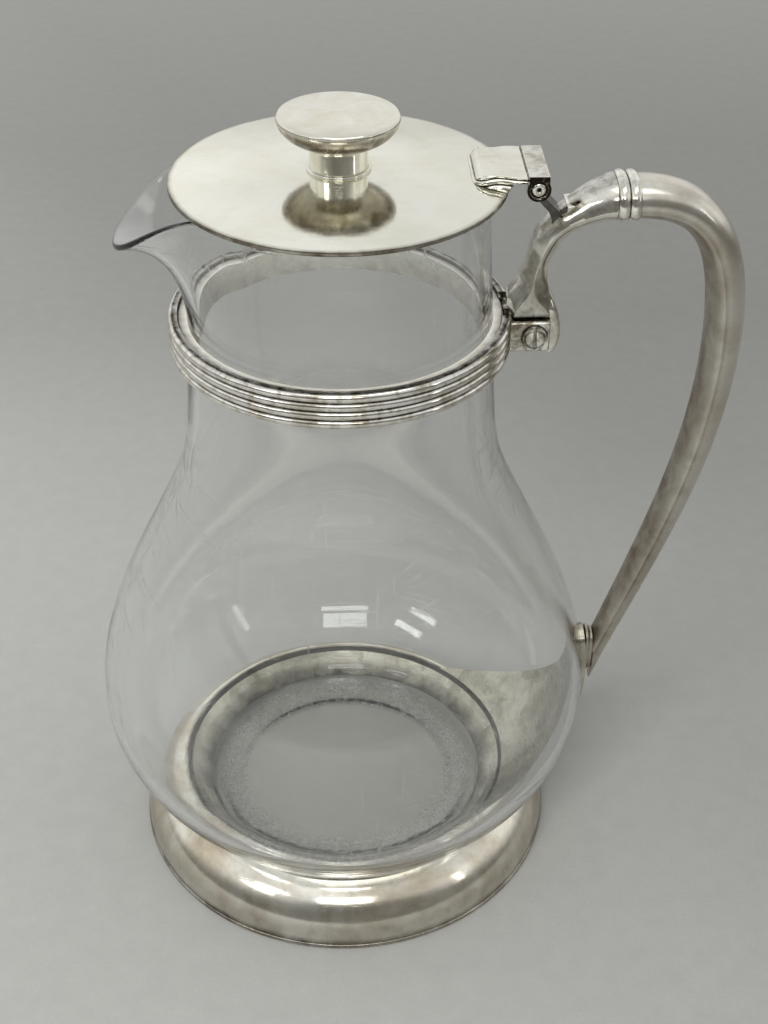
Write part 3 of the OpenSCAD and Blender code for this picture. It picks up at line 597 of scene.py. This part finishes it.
# ---------------------------------------------------------------- back strap and lug
sv, sf = [], []
SR, SC = 48, 40                     # steps up the strap and across it
for off in (FIT, FIT + STRAP_T):
    prof = skin(FOOT_H, STRAP_TOP, off, SR)
    for i in range(SR + 1):
        z = FOOT_H + (STRAP_TOP - FOOT_H) * i / SR
        u = (STRAP_TOP - z) / (STRAP_TOP - FOOT_H)
        # it widens to the foot, and its top end is rounded
        hw = STRAP_W / 2 + (STRAP_FOOT_W - STRAP_W) / 2 * max(u, 0) ** 2.3
        end = min(1.0, (STRAP_TOP - z + .05) / (STRAP_W / 2))
        hw *= math.sqrt(1 - (1 - end) ** 2) ** .8
        r, zz = prof[i]
        for k in range(SC + 1):
            y = hw * (2 * k / SC - 1)
            sv.append((math.sqrt(max(r * r - y * y, 0)), y, zz))
L = (SR + 1) * (SC + 1)
for i in range(SR):
    for k in range(SC):
        a, b = i * (SC + 1) + k, (i + 1) * (SC + 1) + k
        sf.append((a, a + 1, b + 1, b))
        sf.append((L + a, L + b, L + b + 1, L + a + 1))
edge = list(range(SC + 1)) + [(i + 1) * (SC + 1) + SC for i in range(SR)] + \
       [SR * (SC + 1) + k for k in range(SC - 1, -1, -1)] + [i * (SC + 1) for i in range(SR - 1, 0, -1)]
for a, b in zip(edge, edge[1:] + edge[:1]):
    sf.append((a, b, L + b, L + a))
strap = build("back_shell", sv, sf, CUP, "jug")
bevel(strap, 0.45, 3, 40)
dress(strap, "back_strap")


def squarish(c):
    """Swells a circle's coordinate towards a square."""
    return math.copysign(abs(c) ** .75, c)


strap_x = glass_r(STRAP_TOP - LUG_H / 2) + FIT + STRAP_T
lug_x = strap_x + LUG_T
lug_low = STRAP_TOP - LUG_H
secs = []
for x, k in ((strap_x - .4, 1.0), (strap_x + .35, 1.0), (strap_x + .8, .93), (strap_x + 1.2, .90),
             (lug_x - .4, .92), (lug_x, .84)):
    secs.append([(x, k * STRAP_W / 2 * squarish(math.cos(t)),
                  (STRAP_TOP + lug_low) / 2 + k * LUG_H / 2 * squarish(math.sin(t)))
                 for t in np.radians(np.arange(0, 360, 7.5))])
lv, lf = loft(secs)
lug = build("grip_pad", lv, lf, GRIP, "jug", angle=50, grime_and_shade=[.5] * len(lv))
bevel(lug, 0.3, 2, 40)
dress(lug, "handle_lug")

# ---------------------------------------------------------------- grip
lug_mid = STRAP_TOP - LUG_H / 2
bend_z = lug_mid + .735 * (RING_Z - lug_mid)
start = [RING_X + RING_LEN / 2, RING_Z]
top_c = bezier([start, [GRIP_X - 11, RING_Z], [GRIP_X - .7, RING_Z - 10], [GRIP_X, bend_z]], 90)
drop = bend_z - lug_mid
low_c = bezier([[GRIP_X, bend_z], [GRIP_X + .7, bend_z - .33 * drop],
                [lug_x + .125 * drop, lug_mid + .385 * drop], [lug_x, lug_mid]], 110, 1)
path = np.vstack([top_c, low_c])
path_t = tangents(path)
LAST = len(path) - 1
TAPER_FROM = .4                     # the share of the path where the grip starts to narrow


def taper(i):
    """How far the grip has narrowed, from 0 to 1 at its lower end."""
    return max(0.0, (i / LAST - TAPER_FROM) / (1 - TAPER_FROM)) ** 1.2


def grip_point(i, v, u):
    """The point v across and u out from step i of the path. Both ends lie flat on what carries them."""
    a, p = path_t[i], path[i]
    q = p + u * np.array([-a[1], a[0]])
    if i == LAST:
        t = (lug_x - q[0]) / a[0]
        return (lug_x, v, q[1] + t * a[1])
    if i == 0:
        return (start[0], v, start[1] + u)
    return (q[0], v, q[1])


def half_oval(hw, deep, sq, n=28):
    """Half a cross section, squarer for a smaller sq."""
    out = []
    for k in range(n + 1):
        a = math.pi * k / n
        c, s = math.cos(a), math.sin(a)
        out.append((-hw * math.copysign(abs(c) ** sq, c), deep * abs(s) ** sq))
    return out


def grip_half(name, sgn, node):
    """The outer (1) or inner (-1) half of the grip, with dirt on its seam and brown tarnish."""
    secs, gr = [], []
    for i in range(LAST + 1):
        hw = (GRIP_W + (GRIP_END_W - GRIP_W) * taper(i)) / 2
        deep = (GRIP_OUT if sgn > 0 else GRIP_IN) * (1 - .42 * taper(i))
        sec = half_oval(hw, deep, .8 if sgn > 0 else 1.0)
        secs.append([grip_point(i, v, sgn * u) for v, u in sec])
        for v, u in sec:
            seam = .5 * max(0, 1 - u / .45)
            brown = .20 + .50 * u / deep if sgn < 0 else .25 * max(0, 1 - u / (.5 * deep))
            gr.append(max(seam, brown) + (.12 if sgn < 0 else .36) * taper(i))
    v, f = loft(secs)
    dress(build(name, v, f, GRIP, "jug", angle=50, grime_and_shade=gr), node)


grip_half("grip_shell_outer", 1, "grip_outer")
grip_half("grip_shell_inner", -1, "grip_inner")


def ring_oval(hw, out, inn):
    """A whole cross section of the grip."""
    o = half_oval(hw, out, .8)
    return o + [(x, -z) for x, z in reversed(half_oval(hw, inn, 1.0)) if abs(x) < hw - .01]


secs, gr = [], []
BEAD_STEPS = 56
for i in range(BEAD_STEPS + 1):
    u = i / BEAD_STEPS
    bead = PROUD * math.sqrt(abs(math.sin(2 * math.pi * u))) + .1
    x = RING_X - RING_LEN / 2 + RING_LEN * u
    sec = ring_oval(GRIP_W / 2 + bead, GRIP_OUT + bead, GRIP_IN + bead)
    secs.append([(x, y, RING_Z + z) for y, z in sec])
    gr += [max(0, .9 - bead * 1.6)] * len(sec)
v, f = loft(secs)
dress(build("bead_ring", v, f, BRACKET, "jug", angle=60, grime_and_shade=gr), "handle_ring")

# ---------------------------------------------------------------- bracket
leg_x, leg_z = COLLAR_R + .48 * EAR_LEN, EAR_Z + EAR_H + .7
ring_x0 = RING_X - RING_LEN / 2
rise = RING_Z - leg_z
FINE = 4
leg = bezier([[leg_x, leg_z], [leg_x - .9, leg_z + .235 * rise], [leg_x + .5, RING_Z - .28 * rise],
              [leg_x + .46 * (ring_x0 - leg_x), RING_Z - .122 * rise]], 20 * FINE)
arm0 = leg[-1]
arm = bezier([arm0, arm0 + [3.5, 1.9], [ring_x0 - 4, RING_Z - .3], [ring_x0, RING_Z]], 8 * FINE, 1)
bpath = np.vstack([leg, arm])
bt = tangents(bpath)
BL = len(bpath) - 1
EASE_ROUNDS, VALUE_ROUNDS = 12, 10
bt[0], bt[-1] = (0, 1), (1, 0)
for _ in range(EASE_ROUNDS):
    bt[1:-1] = (bt[:-2] + 2 * bt[1:-1] + bt[2:]) / 4
    bt /= np.linalg.norm(bt, axis=1)[:, None]
STATIONS = [0, 2, 4, 5, 7, 10, 15, 20, 28]      # where along the path each row of bvalues counts


def bvalues(*v):
    """One value for every step of the path, eased along the stations."""
    row = np.interp(np.arange(BL + 1) / FINE, STATIONS, v)
    for _ in range(VALUE_ROUNDS):
        row[1:-1] = (row[:-2] + 2 * row[1:-1] + row[2:]) / 4
    return row


def bow(p, q, lift, n=6):
    """Points from p to q along a curve that swells by lift times their distance."""
    dx, dz = q[0] - p[0], q[1] - p[1]
    out = []
    for k in range(1, n):
        swell = 4 * lift * k / n * (1 - k / n)
        out.append((p[0] + dx * k / n - dz * swell, p[1] + dz * k / n + dx * swell))
    return out


# along the bracket: half width, depth out and in, and how its corners run
b_w = bvalues(LEG_W, LEG_W, LEG_W, LEG_W, .97 * LEG_W, .95 * LEG_W, 1.05 * LEG_W, 1.25 * LEG_W, GRIP_W) / 2
b_out = bvalues(.49 * LEG_FOOT_T, .63 * LEG_FOOT_T, .61 * LEG_FOOT_T, .50 * LEG_FOOT_T,
                .56 * LEG_T, .47 * LEG_T, .60 * LEG_T, .60 * LEG_T, GRIP_OUT)
b_inn = bvalues(.51 * LEG_FOOT_T, .60 * LEG_FOOT_T, .54 * LEG_FOOT_T, .47 * LEG_FOOT_T,
                .65 * LEG_T, .545 * LEG_T, .58 * LEG_T, .67 * LEG_T, GRIP_IN)
b_crown = bvalues(.5, .45, .42, .38, .30, .26, .30, .36, .45)
b_face = bvalues(.96, .62, .24, .12, .04, .02, .02, .02, .02)
b_under = bvalues(.8, .7, .6, .5, .36, .34, .34, .36, .5)
b_lift = bvalues(.01, .02, .03, .03, .05, .06, .09, .12, .14)


def bracket_section(i):
    """The bracket's cross section at a step: a crown, two flat sides and a narrower underside."""
    w, out, inn, face, lift = b_w[i], b_out[i], b_inn[i], b_face[i], b_lift[i]
    p = [(b_crown[i] * w, out), (w, out * face), (w, -inn * face), (b_under[i] * w, -inn)]
    right = [p[0]] + bow(p[0], p[1], lift) + [p[1]] + bow(p[1], p[2], 0, 3)
    right += [p[2]] + bow(p[2], p[3], lift) + [p[3]]
    return right + [(-x, z) for x, z in reversed(right)]


secs, gr = [], []
for i in range(BL + 1):
    a = bt[i]
    sec = bracket_section(i)
    secs.append([(bpath[i][0] - q[1] * a[1], q[0], bpath[i][1] + q[1] * a[0]) for q in sec])
    # dirt where the leg meets the ears; painted shade along the arm's crown, and a painted dark reflection on
    # the leg's lower faces
    foot_dirt = max(0.0, .9 - i / 5.0)
    crown_shade = .45 * smooth(i / FINE, 9, 15)
    flat_shade = .35 * (1 - smooth(i / FINE, 5, 9))
    last = len(sec) - 1
    gr += [max(foot_dirt, crown_shade if k in (0, last) else flat_shade if 6 <= k <= last - 6 else 0)
           for k in range(last + 1)]
v, f = loft(secs)
bracket = build("bracket_leg", v, f, BRACKET, "jug", angle=30, grime_and_shade=gr)
bevel(bracket, 0.6, 4, 26)
# the lip that wraps down behind the ears, and the tongue between them
low_b = EAR_Z - .19 * EAR_H
wall_c = bezier([[EAR_X + .67 * LIP_T, low_b], [EAR_X + 1.73 * LIP_T, EAR_Z + .29 * EAR_H],
                 [EAR_X + 1.13 * LIP_T, leg_z + .17 * EAR_H],
                 [leg_x + .46 * LEG_T, leg_z + 1.16 * EAR_H]], 40)
secs = []
for x, z in wall_c:
    half_w = .30 * LEG_T + (.45 * LEG_W - .30 * LEG_T) * smooth(leg_z + EAR_H - z, 0, .9 * EAR_H)
    back_x = min(EAR_X if z < leg_z else leg_x, x - .6)
    cr = min(1.6, half_w * .6)
    pts = arc(x - cr, half_w - cr, cr, 0, 90, 6) + [(back_x, half_w)]
    secs.append([(px, py, z) for px, py in pts] + [(px, -py, z) for px, py in reversed(pts)])
v, f = loft(secs)
wrap = build("bracket_wrap", v, f, BRACKET, "jug", angle=40)
v, f = slab([(COLLAR_R - 1, EAR_Z + .8), (EAR_X + .5, EAR_Z + .8), (EAR_X + .5, leg_z + .8),
             (COLLAR_R - 1, leg_z + .8)], -TONGUE_T / 2, TONGUE_T / 2)
inner_tongue = build("clamp_tongue", v, f, BRACKET, "jug")
bevel(inner_tongue, .3, 2)
# the square stop behind the lid's hinge
stop_x, stop_end = PIN_X + 9.3, arm0[0] + .35 * (ring_x0 - arm0[0])
v, f = slab([(stop_x, RING_Z - GRIP_IN), (stop_x, RING_Z), (stop_x + 2.2, RING_Z + .2),
             (stop_x + 3.2, RING_Z - .6), (stop_end, RING_Z - 2.5), (stop_end, RING_Z - 3)],
            -.42 * LEG_W, .42 * LEG_W)
stop = build("bracket_stop", v, f, BRACKET, "jug")
bevel(stop, .7, 4)
for o in (bracket, wrap, inner_tongue, stop):
    dress(o, "handle_bracket")

# ---------------------------------------------------------------- hinge tongue
shank = [(-.23, -1.31), (.46, -2.46), (1.6, -3.7), (2, -4.6), (2, -5.4), (3.4, -5.4),
         (3.4, -4.4), (3, -4), (1.35, -2.3), (1, -1.85), (.77, -1.9), (.77, -.64)]
outline = arc(0, 0, EYE_R, 0, 205, 26) + [(EYE_R * x, EYE_R * z) for x, z in shank]
v, f = slab([(PIN_X + x, PIN_Z + z) for x, z in outline], -TONGUE_W / 2, TONGUE_W / 2)
tongue = build("hinge_bar", v, f, DARK, "jug")
bevel(tongue, .5, 3, 30)
dress(tongue, "hinge_tongue", slot="dark")

# ---------------------------------------------------------------- collar
band_top = COLLAR_Z + REEDS * PITCH
prof, gr = [(STRIP_R, COLLAR_Z)], [.4]
for i in range(REEDS):
    cz = COLLAR_Z + (i + .5) * PITCH
    for k in range(17):
        a = math.radians(-90 + 180 * k / 16)
        prof.append((REED_C + REED_R * math.cos(a), cz + REED_R * math.sin(a)))
        gr.append(max(0.0, 1 - REED_R * math.cos(a) / .62))
prof.append((STRIP_R, band_top))
gr.append(.4)
half = math.degrees(math.asin(EAR_W / 2 / COLLAR_R))
band = turned("reeded_band", prof, REED, "jug", 256, angle=70, start=half, end=360 - half, grime_and_shade=gr)
dress(band, "collar_band")
zl, zh = COLLAR_Z + .6, band_top - 1
sleeve = [(glass_r(zl) + FIT, zl), (STRIP_R - .35, zl), (STRIP_R - .02, zl + .35), (STRIP_R - .02, zh - .5),
          (STRIP_R - .5, zh), (glass_r(zh) + FIT, zh)]
dress(turned("clamp_sleeve", sleeve, SLEEVE, "jug", 192, grime_and_shade=[.5, .7, .8, .8, .7, .1]), "collar_sleeve")

for sign, piece, node in ((-1, "clamp_ear_front", "collar_ear_front"),
                          (1, "clamp_ear_rear", "collar_ear_rear")):
    y0, y1 = sorted((sign * TONGUE_T / 2, sign * EAR_W / 2))
    v, f = slab([(STRIP_R + .3, EAR_Z), (EAR_X, EAR_Z),
                 (EAR_X, EAR_Z + EAR_H), (STRIP_R + .3, EAR_Z + EAR_H)], y0, y1)
    ear = build(piece, v, f, EAR, "jug")
    bevel(ear, .8, 4)
    dress(ear, node)

# clamp screw with a slotted, slightly domed head
SLOT_L, SLOT_LEAN, SLOT_W, SLOT_D = 3.6, .2, .5, 1.1
hy = -EAR_W / 2 + .5
hr = HEAD_R - .5
prof = [(0, HEAD_H)] + [(hr * s, HEAD_H - .5 * s * s) for s in np.linspace(.1, .74, 8)] + \
       [(hr * .80, HEAD_H - .48), (hr * .86, HEAD_H - .36), (hr * .93, HEAD_H - .42),
        (hr * .98, HEAD_H - .75), (hr, HEAD_H - 1.1), (hr + .02, .55), (hr + .35, .5), (hr + .35, 0.0),
        (0, 0.0)]
hv, hf, hg = revolve(prof, 64, grime_and_shade=[0.0] * 8 + [.3, .6, .2, 0.0, .1, .3, .8, .8, .7, 0.0])
head = build("screw_head", [(SCREW_X + x, hy - z, SCREW_Z + y) for x, y, z in hv], hf, EAR, "jug", grime_and_shade=hg)
slot = [(SCREW_X + sx * SLOT_W - sz * SLOT_LEAN, SCREW_Z + sz * SLOT_L)
        for sx, sz in ((-1, -1), (1, -1), (1, 1), (-1, 1))]
cut(head, [slab(slot, hy - HEAD_H - 1, hy - HEAD_H + SLOT_D)])
dress(head, "clamp_screw")

# ---------------------------------------------------------------- lid
dome = [(LID_R * s, LID_MID - lid_drop(LID_R * s)) for s in np.linspace(0, 1, 60)]
edge_r = .35
below = [(max(r, 0), z) for r, z in beside(dome, -LID_T)]
rim_edge = [(LID_R - .12, LID_EDGE - .04), (LID_R, LID_EDGE - edge_r), (LID_R, LID_EDGE - LID_T + edge_r),
            (LID_R - .3, LID_EDGE - LID_T + .02)]
lid_prof = dome[:-1] + rim_edge + below[-2::-1]
lid_g = [0.0] * (len(dome) - 2) + [.25, .8, .75, .9, 1.0] + [.5] * (len(below) - 1)
dress(turned("lid_plate", lid_prof, LID, "lid", 256, angle=30, grime_and_shade=lid_g), "lid_disc")

# knob
top_z = LID_MID + KNOB_H
KNOB_EDGE = .5
bowl = [(KNOB_R * math.cos(a), top_z - KNOB_EDGE - BOWL_H * math.sin(a))
        for a in np.radians(np.arange(0, 61, 3))]
nz = bowl[-1][1]
neck = bezier([bowl[-1], [NECK_R + .05, nz - .25], [NECK_R, nz - .5], [NECK_R, nz - 1.2]], 8, 1)
knob_prof = [(0, top_z - .35), (KNOB_R - 3.0, top_z - .3), (KNOB_R - .9, top_z - .06),
             (KNOB_R - .45, top_z - .02), (KNOB_R - .08, top_z - .3)] + \
            bowl + [tuple(p) for p in neck] + [(NECK_R, LID_MID - 1), (0, LID_MID - 1)]
# the bowl under the knob's top is darker: tarnish, and painted shade for the dark room the bowl reflects
knob_tarnish_and_shade = [0.0, 0.0, 0.0, 0.0, .05] + \
         [.25 + .6 * smooth(k, 0, 4) - .25 * smooth(k, 8, 15) for k in range(len(bowl))] + \
         [.6, .5, .4, .3, .2, .1, .05, 0.0, 0.0, 0.0]
dress(turned("knob_body", knob_prof, KNOB, "lid", 192, angle=35, grime_and_shade=knob_tarnish_and_shade), "knob")
rz = LID_MID - lid_drop(NECK_R)
ring_prof = [(NECK_R + .33 + .55 * math.cos(math.radians(t)), rz + .38 + .55 * math.sin(math.radians(t)))
             for t in range(-60, 200, 20)]
dress(turned("knob_bead", [(NECK_R - .1, rz - .05)] + ring_prof, KNOB, "lid", 128), "knob_ring")
NUT_R = 3.6
hz = LID_MID - LID_T - lid_drop(NUT_R)
nut = [(0, hz - 1.5), (2.9, hz - 1.5), (NUT_R, hz - 1.1), (NUT_R, hz), (0, hz)]
dress(turned("lid_nut", nut, LID, "lid", 64), "knob_screw")

# ---------------------------------------------------------------- hinge plate, moulded round three sides
top = PIN_Z + KN_TOP
hw = HINGE_W / 2
STRIP, CORNER, BACK_CORNER = 1.5, 4.2, 1.8
x_flat = PLATE_X - PLATE_LEN + 2 * FLARE + STRIP - .6


def plate_top(x):
    """The plate's top along its length: a slight swell."""
    u = (x - x_flat) / (PLATE_X - x_flat)
    return top - .45 + .45 * math.sin(math.pi * min(1, max(0, .12 + .80 * u)))


def waist(x):
    """How far the sides of the plate draw in behind the corner."""
    return 1.3 * math.exp(-((x - x_flat - 4.0) / 3.6) ** 2)


# each row: how far out on the end and on the sides, and how far down on the end and on the sides
rows_in = [(0, 0, 0, 0), (.12, .02, .05, .03), (STRIP - .1, .10, 1.05, .10), (STRIP, .13, 1.2, .22),
           (STRIP, .08, 1.45, .50), (STRIP - .28, -.25, 1.62, .68), (STRIP - .25, -.35, 1.78, .82)]
for t in np.radians([78 - 15.6 * k for k in range(11)]):
    rows_in.append((STRIP + .1 + .85 * math.cos(t), -.05 + .75 * math.cos(t),
                    2.45 - .70 * math.sin(t), 1.62 - .80 * math.sin(t)))
rows_in += [(STRIP + .30, .30, 3.15, 2.44), (STRIP + .95, .60, 3.3, 2.58), (STRIP + 1.5, .90, 3.5, 2.85),
            (STRIP + 1.8, 1.1, 3.8, 3.2), (STRIP + 1.8, 1.2, 7.0, 7.0)]
DARK_ROWS = {5: .8, 6: 1.0, 7: .6, 17: .7, 18: 1.0, 19: .4}
xs_edge = [PLATE_X, *np.linspace(PLATE_X - .3, LID_R + .6, 6)] + \
          [LID_R + .2, LID_R - .1, LID_R - .4, LID_R - .68, LID_R - .70] + \
          list(np.linspace(LID_R - 1.2, x_flat + CORNER, 8))
CROSS = 16
ARCH_R = 1.4                        # rounds the plate's underside where it crosses the lid's edge
pv, pf, pg = [], [], []


def plate_side(kx, ky, zx, zy, r):
    """Points of one row along a side, from the knuckle round the corner of radius r."""
    pts = [(x, -(hw + ky - waist(x)), zy) for x in xs_edge[:-1]]
    for t in np.radians(np.linspace(0, 90, 15)):
        c, q = math.cos(t), math.sin(t)
        x = x_flat + r - (r + kx) * q
        pts.append((x, -(hw - r) - (r + ky - waist(x)) * c, zy * c * c + zx * q * q))
    return pts


for j, (kx, ky, zx, zy) in enumerate(rows_in):
    half_row = plate_side(kx, ky, zx, zy, CORNER)
    other = plate_side(kx, ky, zx, zy, BACK_CORNER)
    y_a, y_b = half_row[-1][1], -other[-1][1]
    row = half_row + [(x_flat - kx, y_a + (y_b - y_a) * k / CROSS, zx) for k in range(1, CROSS)]
    row += [(x, -y, z) for x, y, z in reversed(other)]
    for x, y, down in row:
        # the plate rests on the lid, and bridges from its edge to the knuckle
        if x > LID_R - .69:
            low_z = top - WEB - ARCH_R + math.sqrt(max(0.0, ARCH_R ** 2 - max(0.0, LID_R + .7 - x) ** 2))
        else:
            low_z = LID_MID - lid_drop(min(math.hypot(x, y), LID_R)) - .02
        pv.append((x, y, max(plate_top(x) - down, low_z)))
        pg.append(DARK_ROWS.get(j, 0.0))
n = 2 * len(half_row) + CROSS - 1
for j in range(len(rows_in) - 1):
    for k in range(n):
        k2 = (k + 1) % n
        pf.append((j * n + k, j * n + k2, (j + 1) * n + k2, (j + 1) * n + k))
# top face as a grid between the two long edges
cols = len(half_row)
grid = {}
for c in range(cols):
    grid[c, 0], grid[c, CROSS] = c, n - 1 - c
    for r in range(1, CROSS):
        if c == cols - 1:
            grid[c, r] = cols - 1 + r
        else:
            near, far = np.array(pv[c]), np.array(pv[n - 1 - c])
            pv.append(tuple(near + (far - near) * r / CROSS))
            pg.append(0.0)
            grid[c, r] = len(pv) - 1
for c in range(cols - 1):
    for r in range(CROSS):
        pf.append((grid[c, r], grid[c + 1, r], grid[c + 1, r + 1], grid[c, r + 1]))
bottom_row = (len(rows_in) - 1) * n
pf.append(tuple(bottom_row + k for k in range(n)))
plate = build("hinge_mould", pv, clean_faces(pv, pf), PLATE, "lid", angle=34, grime_and_shade=pg)
dress(plate, "hinge_plate")

# knuckle: one block over the tongue, round below, with the pin's sunk ends
kr = KN_W / 2 + .5
side_l = math.degrees(math.acos(KN_W / 2 / kr))
left_x = -KN_W / 2
block = [(left_x, KN_TOP), (left_x, KN_TOP - WEB / 2), (left_x - GROOVE - .1, KN_TOP - WEB / 2),
         (left_x - GROOVE - .1, KN_TOP - WEB), (left_x, KN_TOP - WEB)] + \
        arc(0, 0, kr, 180 - side_l, 360 + side_l, 40) + [(KN_W / 2, KN_TOP)]
v, f = slab([(PIN_X + x, PIN_Z + z) for x, z in block], -hw, hw)
knuckle = build("hinge_cheeks", v, f, BRACKET, "lid")
head_r = 1.5 * PIN_R
sunk_r, sunk = head_r + .75, hw - .55
gap_y, gap_x = TONGUE_W / 2 + GAP, 2 * KN_W
gap = [(PIN_X - gap_x, PIN_Z - gap_x), (PIN_X + gap_x, PIN_Z - gap_x),
       (PIN_X + gap_x, PIN_Z + EYE_R + GAP), (PIN_X - gap_x, PIN_Z + EYE_R + GAP)]
cut(knuckle, [slab(gap, -gap_y, gap_y), rod(sunk_r, -hw - 1, -sunk, PIN_X, PIN_Z),
              rod(sunk_r, sunk, hw + 1, PIN_X, PIN_Z)])
# painted shade: the knuckle's front and back faces are dark; its top by the groove is dark too
paint(knuckle, lambda at, out: 1.3 if abs(out.y) > .7 else
      1.0 if at.x < PLATE_X + GROOVE and out.z > .5 else .15)
bevel(knuckle, .22, 3, 35)
dress(knuckle, "hinge_knuckle")
half_pin = [(0, hw - .75), (.45, hw - .7), (.62, hw - .35), (.8, hw - .1), (1.15, hw),
            (head_r - .25, hw - .05), (head_r, hw - .25), (head_r, hw - .56), (PIN_R, hw - .56)]
v, f, _ = revolve(half_pin + [(r, -z) for r, z in reversed(half_pin)], 48)
pin = build("hinge_rod", [(PIN_X + x, -z, PIN_Z + y) for x, y, z in v], f, BRACKET, "lid", angle=50)
dress(pin, "hinge_pin", slot="dark")

# ---------------------------------------------------------------- floor
paper = Material("paper")
grain = paper.noise(900.0, 4.0, 0.6)
mottled = paper.noise(120.0, 4.0, 0.6)
tone = paper.math("ADD", paper.math("MULTIPLY", grain, 0.05), paper.math("MULTIPLY", mottled, 0.05))
tone = paper.math("MULTIPLY", paper.math("ADD", tone, 0.28), 1.73)
# painted light and shade: the paper's colour falls off from near to far, and from left to right as a painted
# shadow
across, ahead, _ = paper.xyz()
depth = paper.math("MULTIPLY", paper.math("ADD", ahead, 0.3), 1 / 1.5)
tone = paper.math("MULTIPLY", tone, paper.ramp(depth, [(0.0, .65), (0.20, .66), (0.30, .72), (0.36, .71),
                                                       (0.44, .63), (0.60, .70), (0.80, .90)]))
askew = paper.math("ADD", paper.math("MULTIPLY", ahead, 0.6), paper.math("ADD", across, 0.2))
tone = paper.math("MULTIPLY", tone, paper.ramp(askew, [(0.04, .97), (0.15, .92), (0.23, .85), (0.27, .82),
                                                       (0.36, .71), (0.50, .64), (0.80, .61)]))
# painted shadow of the jug: a darker, warm-tinted disc on the paper round its base
jug_shadow = paper.ramp(paper.length(paper.coord), [(0.050, (0.74, 0.725, 0.68)), (0.074, (1.0, 1.0, 1.0))])
shade = paper.ramp(tone, [(0.0, (0.0, 0.0, 0.0)), (1.0, (1.0, 1.0, 0.955))])
paper.put(paper.bsdf, "Base Color", paper.mix(1.0, shade, jug_shadow, "MULTIPLY"))
paper.put(paper.bsdf, "Roughness", 0.75)
paper.put(paper.bsdf, "Specular IOR Level", 0.25)
paper.put(paper.bsdf, "Normal", paper.bump(grain, 0.2, 0.0002))
SPREAD_M = 3.0                      # metres from the middle to each edge
ground = build("floor", [(SPREAD_M * x, SPREAD_M * y, 0) for x, y in ((-1, -1), (1, -1), (1, 1), (-1, 1))],
               [(0, 1, 2, 3)], paper.mat, None, scale=1.0, stage=True)

# ---------------------------------------------------------------- light, in metres
world = bpy.data.worlds.new("studio")
bpy.context.scene.world = world
world.use_nodes = True
sky = Nodes(world.node_tree, "Generated")
sky_x, sky_y, sky_z = sky.xyz()
flank = sky.math("MULTIPLY", sky.math("ABSOLUTE", sky_x, 0.0), 0.22)
height = sky.math("ADD", sky.math("MULTIPLY", sky_y, 0.40), sky.math("ADD", flank, sky_z))
greys = ((0.22, 0.27), (0.32, 0.42), (0.46, 0.80), (0.60, 0.98), (0.80, 1.0))
room = sky.ramp(height, [(0.0, (0.24, 0.235, 0.22))] + [(at, (c, c * .995, c * .98)) for at, c in greys] +
                [(1.0, (0.85, 0.86, 0.87))])
patches = sky.new("ShaderNodeMapRange", Value=sky.noise(2.1, 2.0, 0.5), From_Min=0.38, From_Max=0.62,
                  To_Min=0.78, To_Max=1.08)
backdrop = sky.t.nodes["Background"]
sky.put(backdrop, "Color", sky.mix(1.0, room, patches.outputs["Result"], "MULTIPLY"))
sky.put(backdrop, "Strength", 0.9)


def area(name, place, aim, size, power, colour=(1, 1, 1), mirrored=True):
    """A rectangular lamp, in metres and watts. Glass and silver show it only if it is mirrored."""
    lamp = bpy.data.lights.new(name, "AREA")
    lamp.shape = "RECTANGLE"
    lamp.size, lamp.size_y = size
    lamp.energy = power
    lamp.color = colour
    o = bpy.data.objects.new(name, lamp)
    bpy.context.scene.collection.objects.link(o)
    o.location = place
    o.rotation_euler = (Vector(aim) - Vector(place)).to_track_quat("-Z", "Y").to_euler()
    o.visible_glossy = o.visible_transmission = mirrored


JUG_MID, JUG_LOW = (0, 0, 0.1), (0, 0.06, 0.03)         # what the lamps are turned to
PANE_W, PANE_GLOW = 0.82, 14.0                          # the window's width, and its watts per square metre
area("key", (-0.85, -1.45, 1.45), JUG_MID, (0.9, 0.8), 25.3, (1.0, 0.99, 0.97), mirrored=False)
area("low_fill", (0.0, -1.5, 0.58), (0, 0, 0.2), (0.9, 0.3), 7.0, mirrored=False)
area("ceiling", (0.2, -0.4, 2.2), JUG_MID, (1.5, 0.9), 5.0, (1.0, 0.99, 0.96))
for k, (pane_z, tall) in enumerate(((1.49, 0.22), (1.25, 0.07))):
    area("pane_%d" % k, (-0.04, -1.54, pane_z), JUG_LOW, (PANE_W, tall), PANE_GLOW * PANE_W * tall)
for k, d in enumerate((-0.11, 0.11)):
    area("side_pane_%d" % k, (-1.2 + d, -1.08, 1.2 + d), JUG_LOW, (0.5, 0.09), 0.9)
area("far_pane", (1.6, -0.9, 0.85), JUG_LOW, (0.10, 0.5), 0.5)

# ---------------------------------------------------------------- camera at the photograph's angle
FOCAL_PX, PHOTO_PX, SENSOR = 1540.0, 1024.0, 36.0
EYE = (-0.005649, -0.398800, 0.418670)
turn, tilt, roll = math.radians(2.718), math.radians(36.164), math.radians(0.470)
right = Vector((math.cos(turn), -math.sin(turn), 0))
fwd = Vector((math.cos(tilt) * math.sin(turn), math.cos(tilt) * math.cos(turn), -math.sin(tilt)))
up = right.cross(fwd)
ex = right * math.cos(roll) + up * math.sin(roll)
ey = -right * math.sin(roll) + up * math.cos(roll)
cam = bpy.data.cameras.new("camera")
cam.sensor_fit = "AUTO"
cam.sensor_width = SENSOR
cam.lens = FOCAL_PX * SENSOR / PHOTO_PX
cam.clip_end = 20.0
cam_obj = bpy.data.objects.new("camera", cam)
bpy.context.scene.collection.objects.link(cam_obj)
cam_obj.matrix_world = Matrix([(ex[k], ey[k], -fwd[k], EYE[k]) for k in range(3)] + [(0, 0, 0, 1)])
bpy.context.scene.camera = cam_obj
bpy.context.scene.view_settings.view_transform = "Standard"
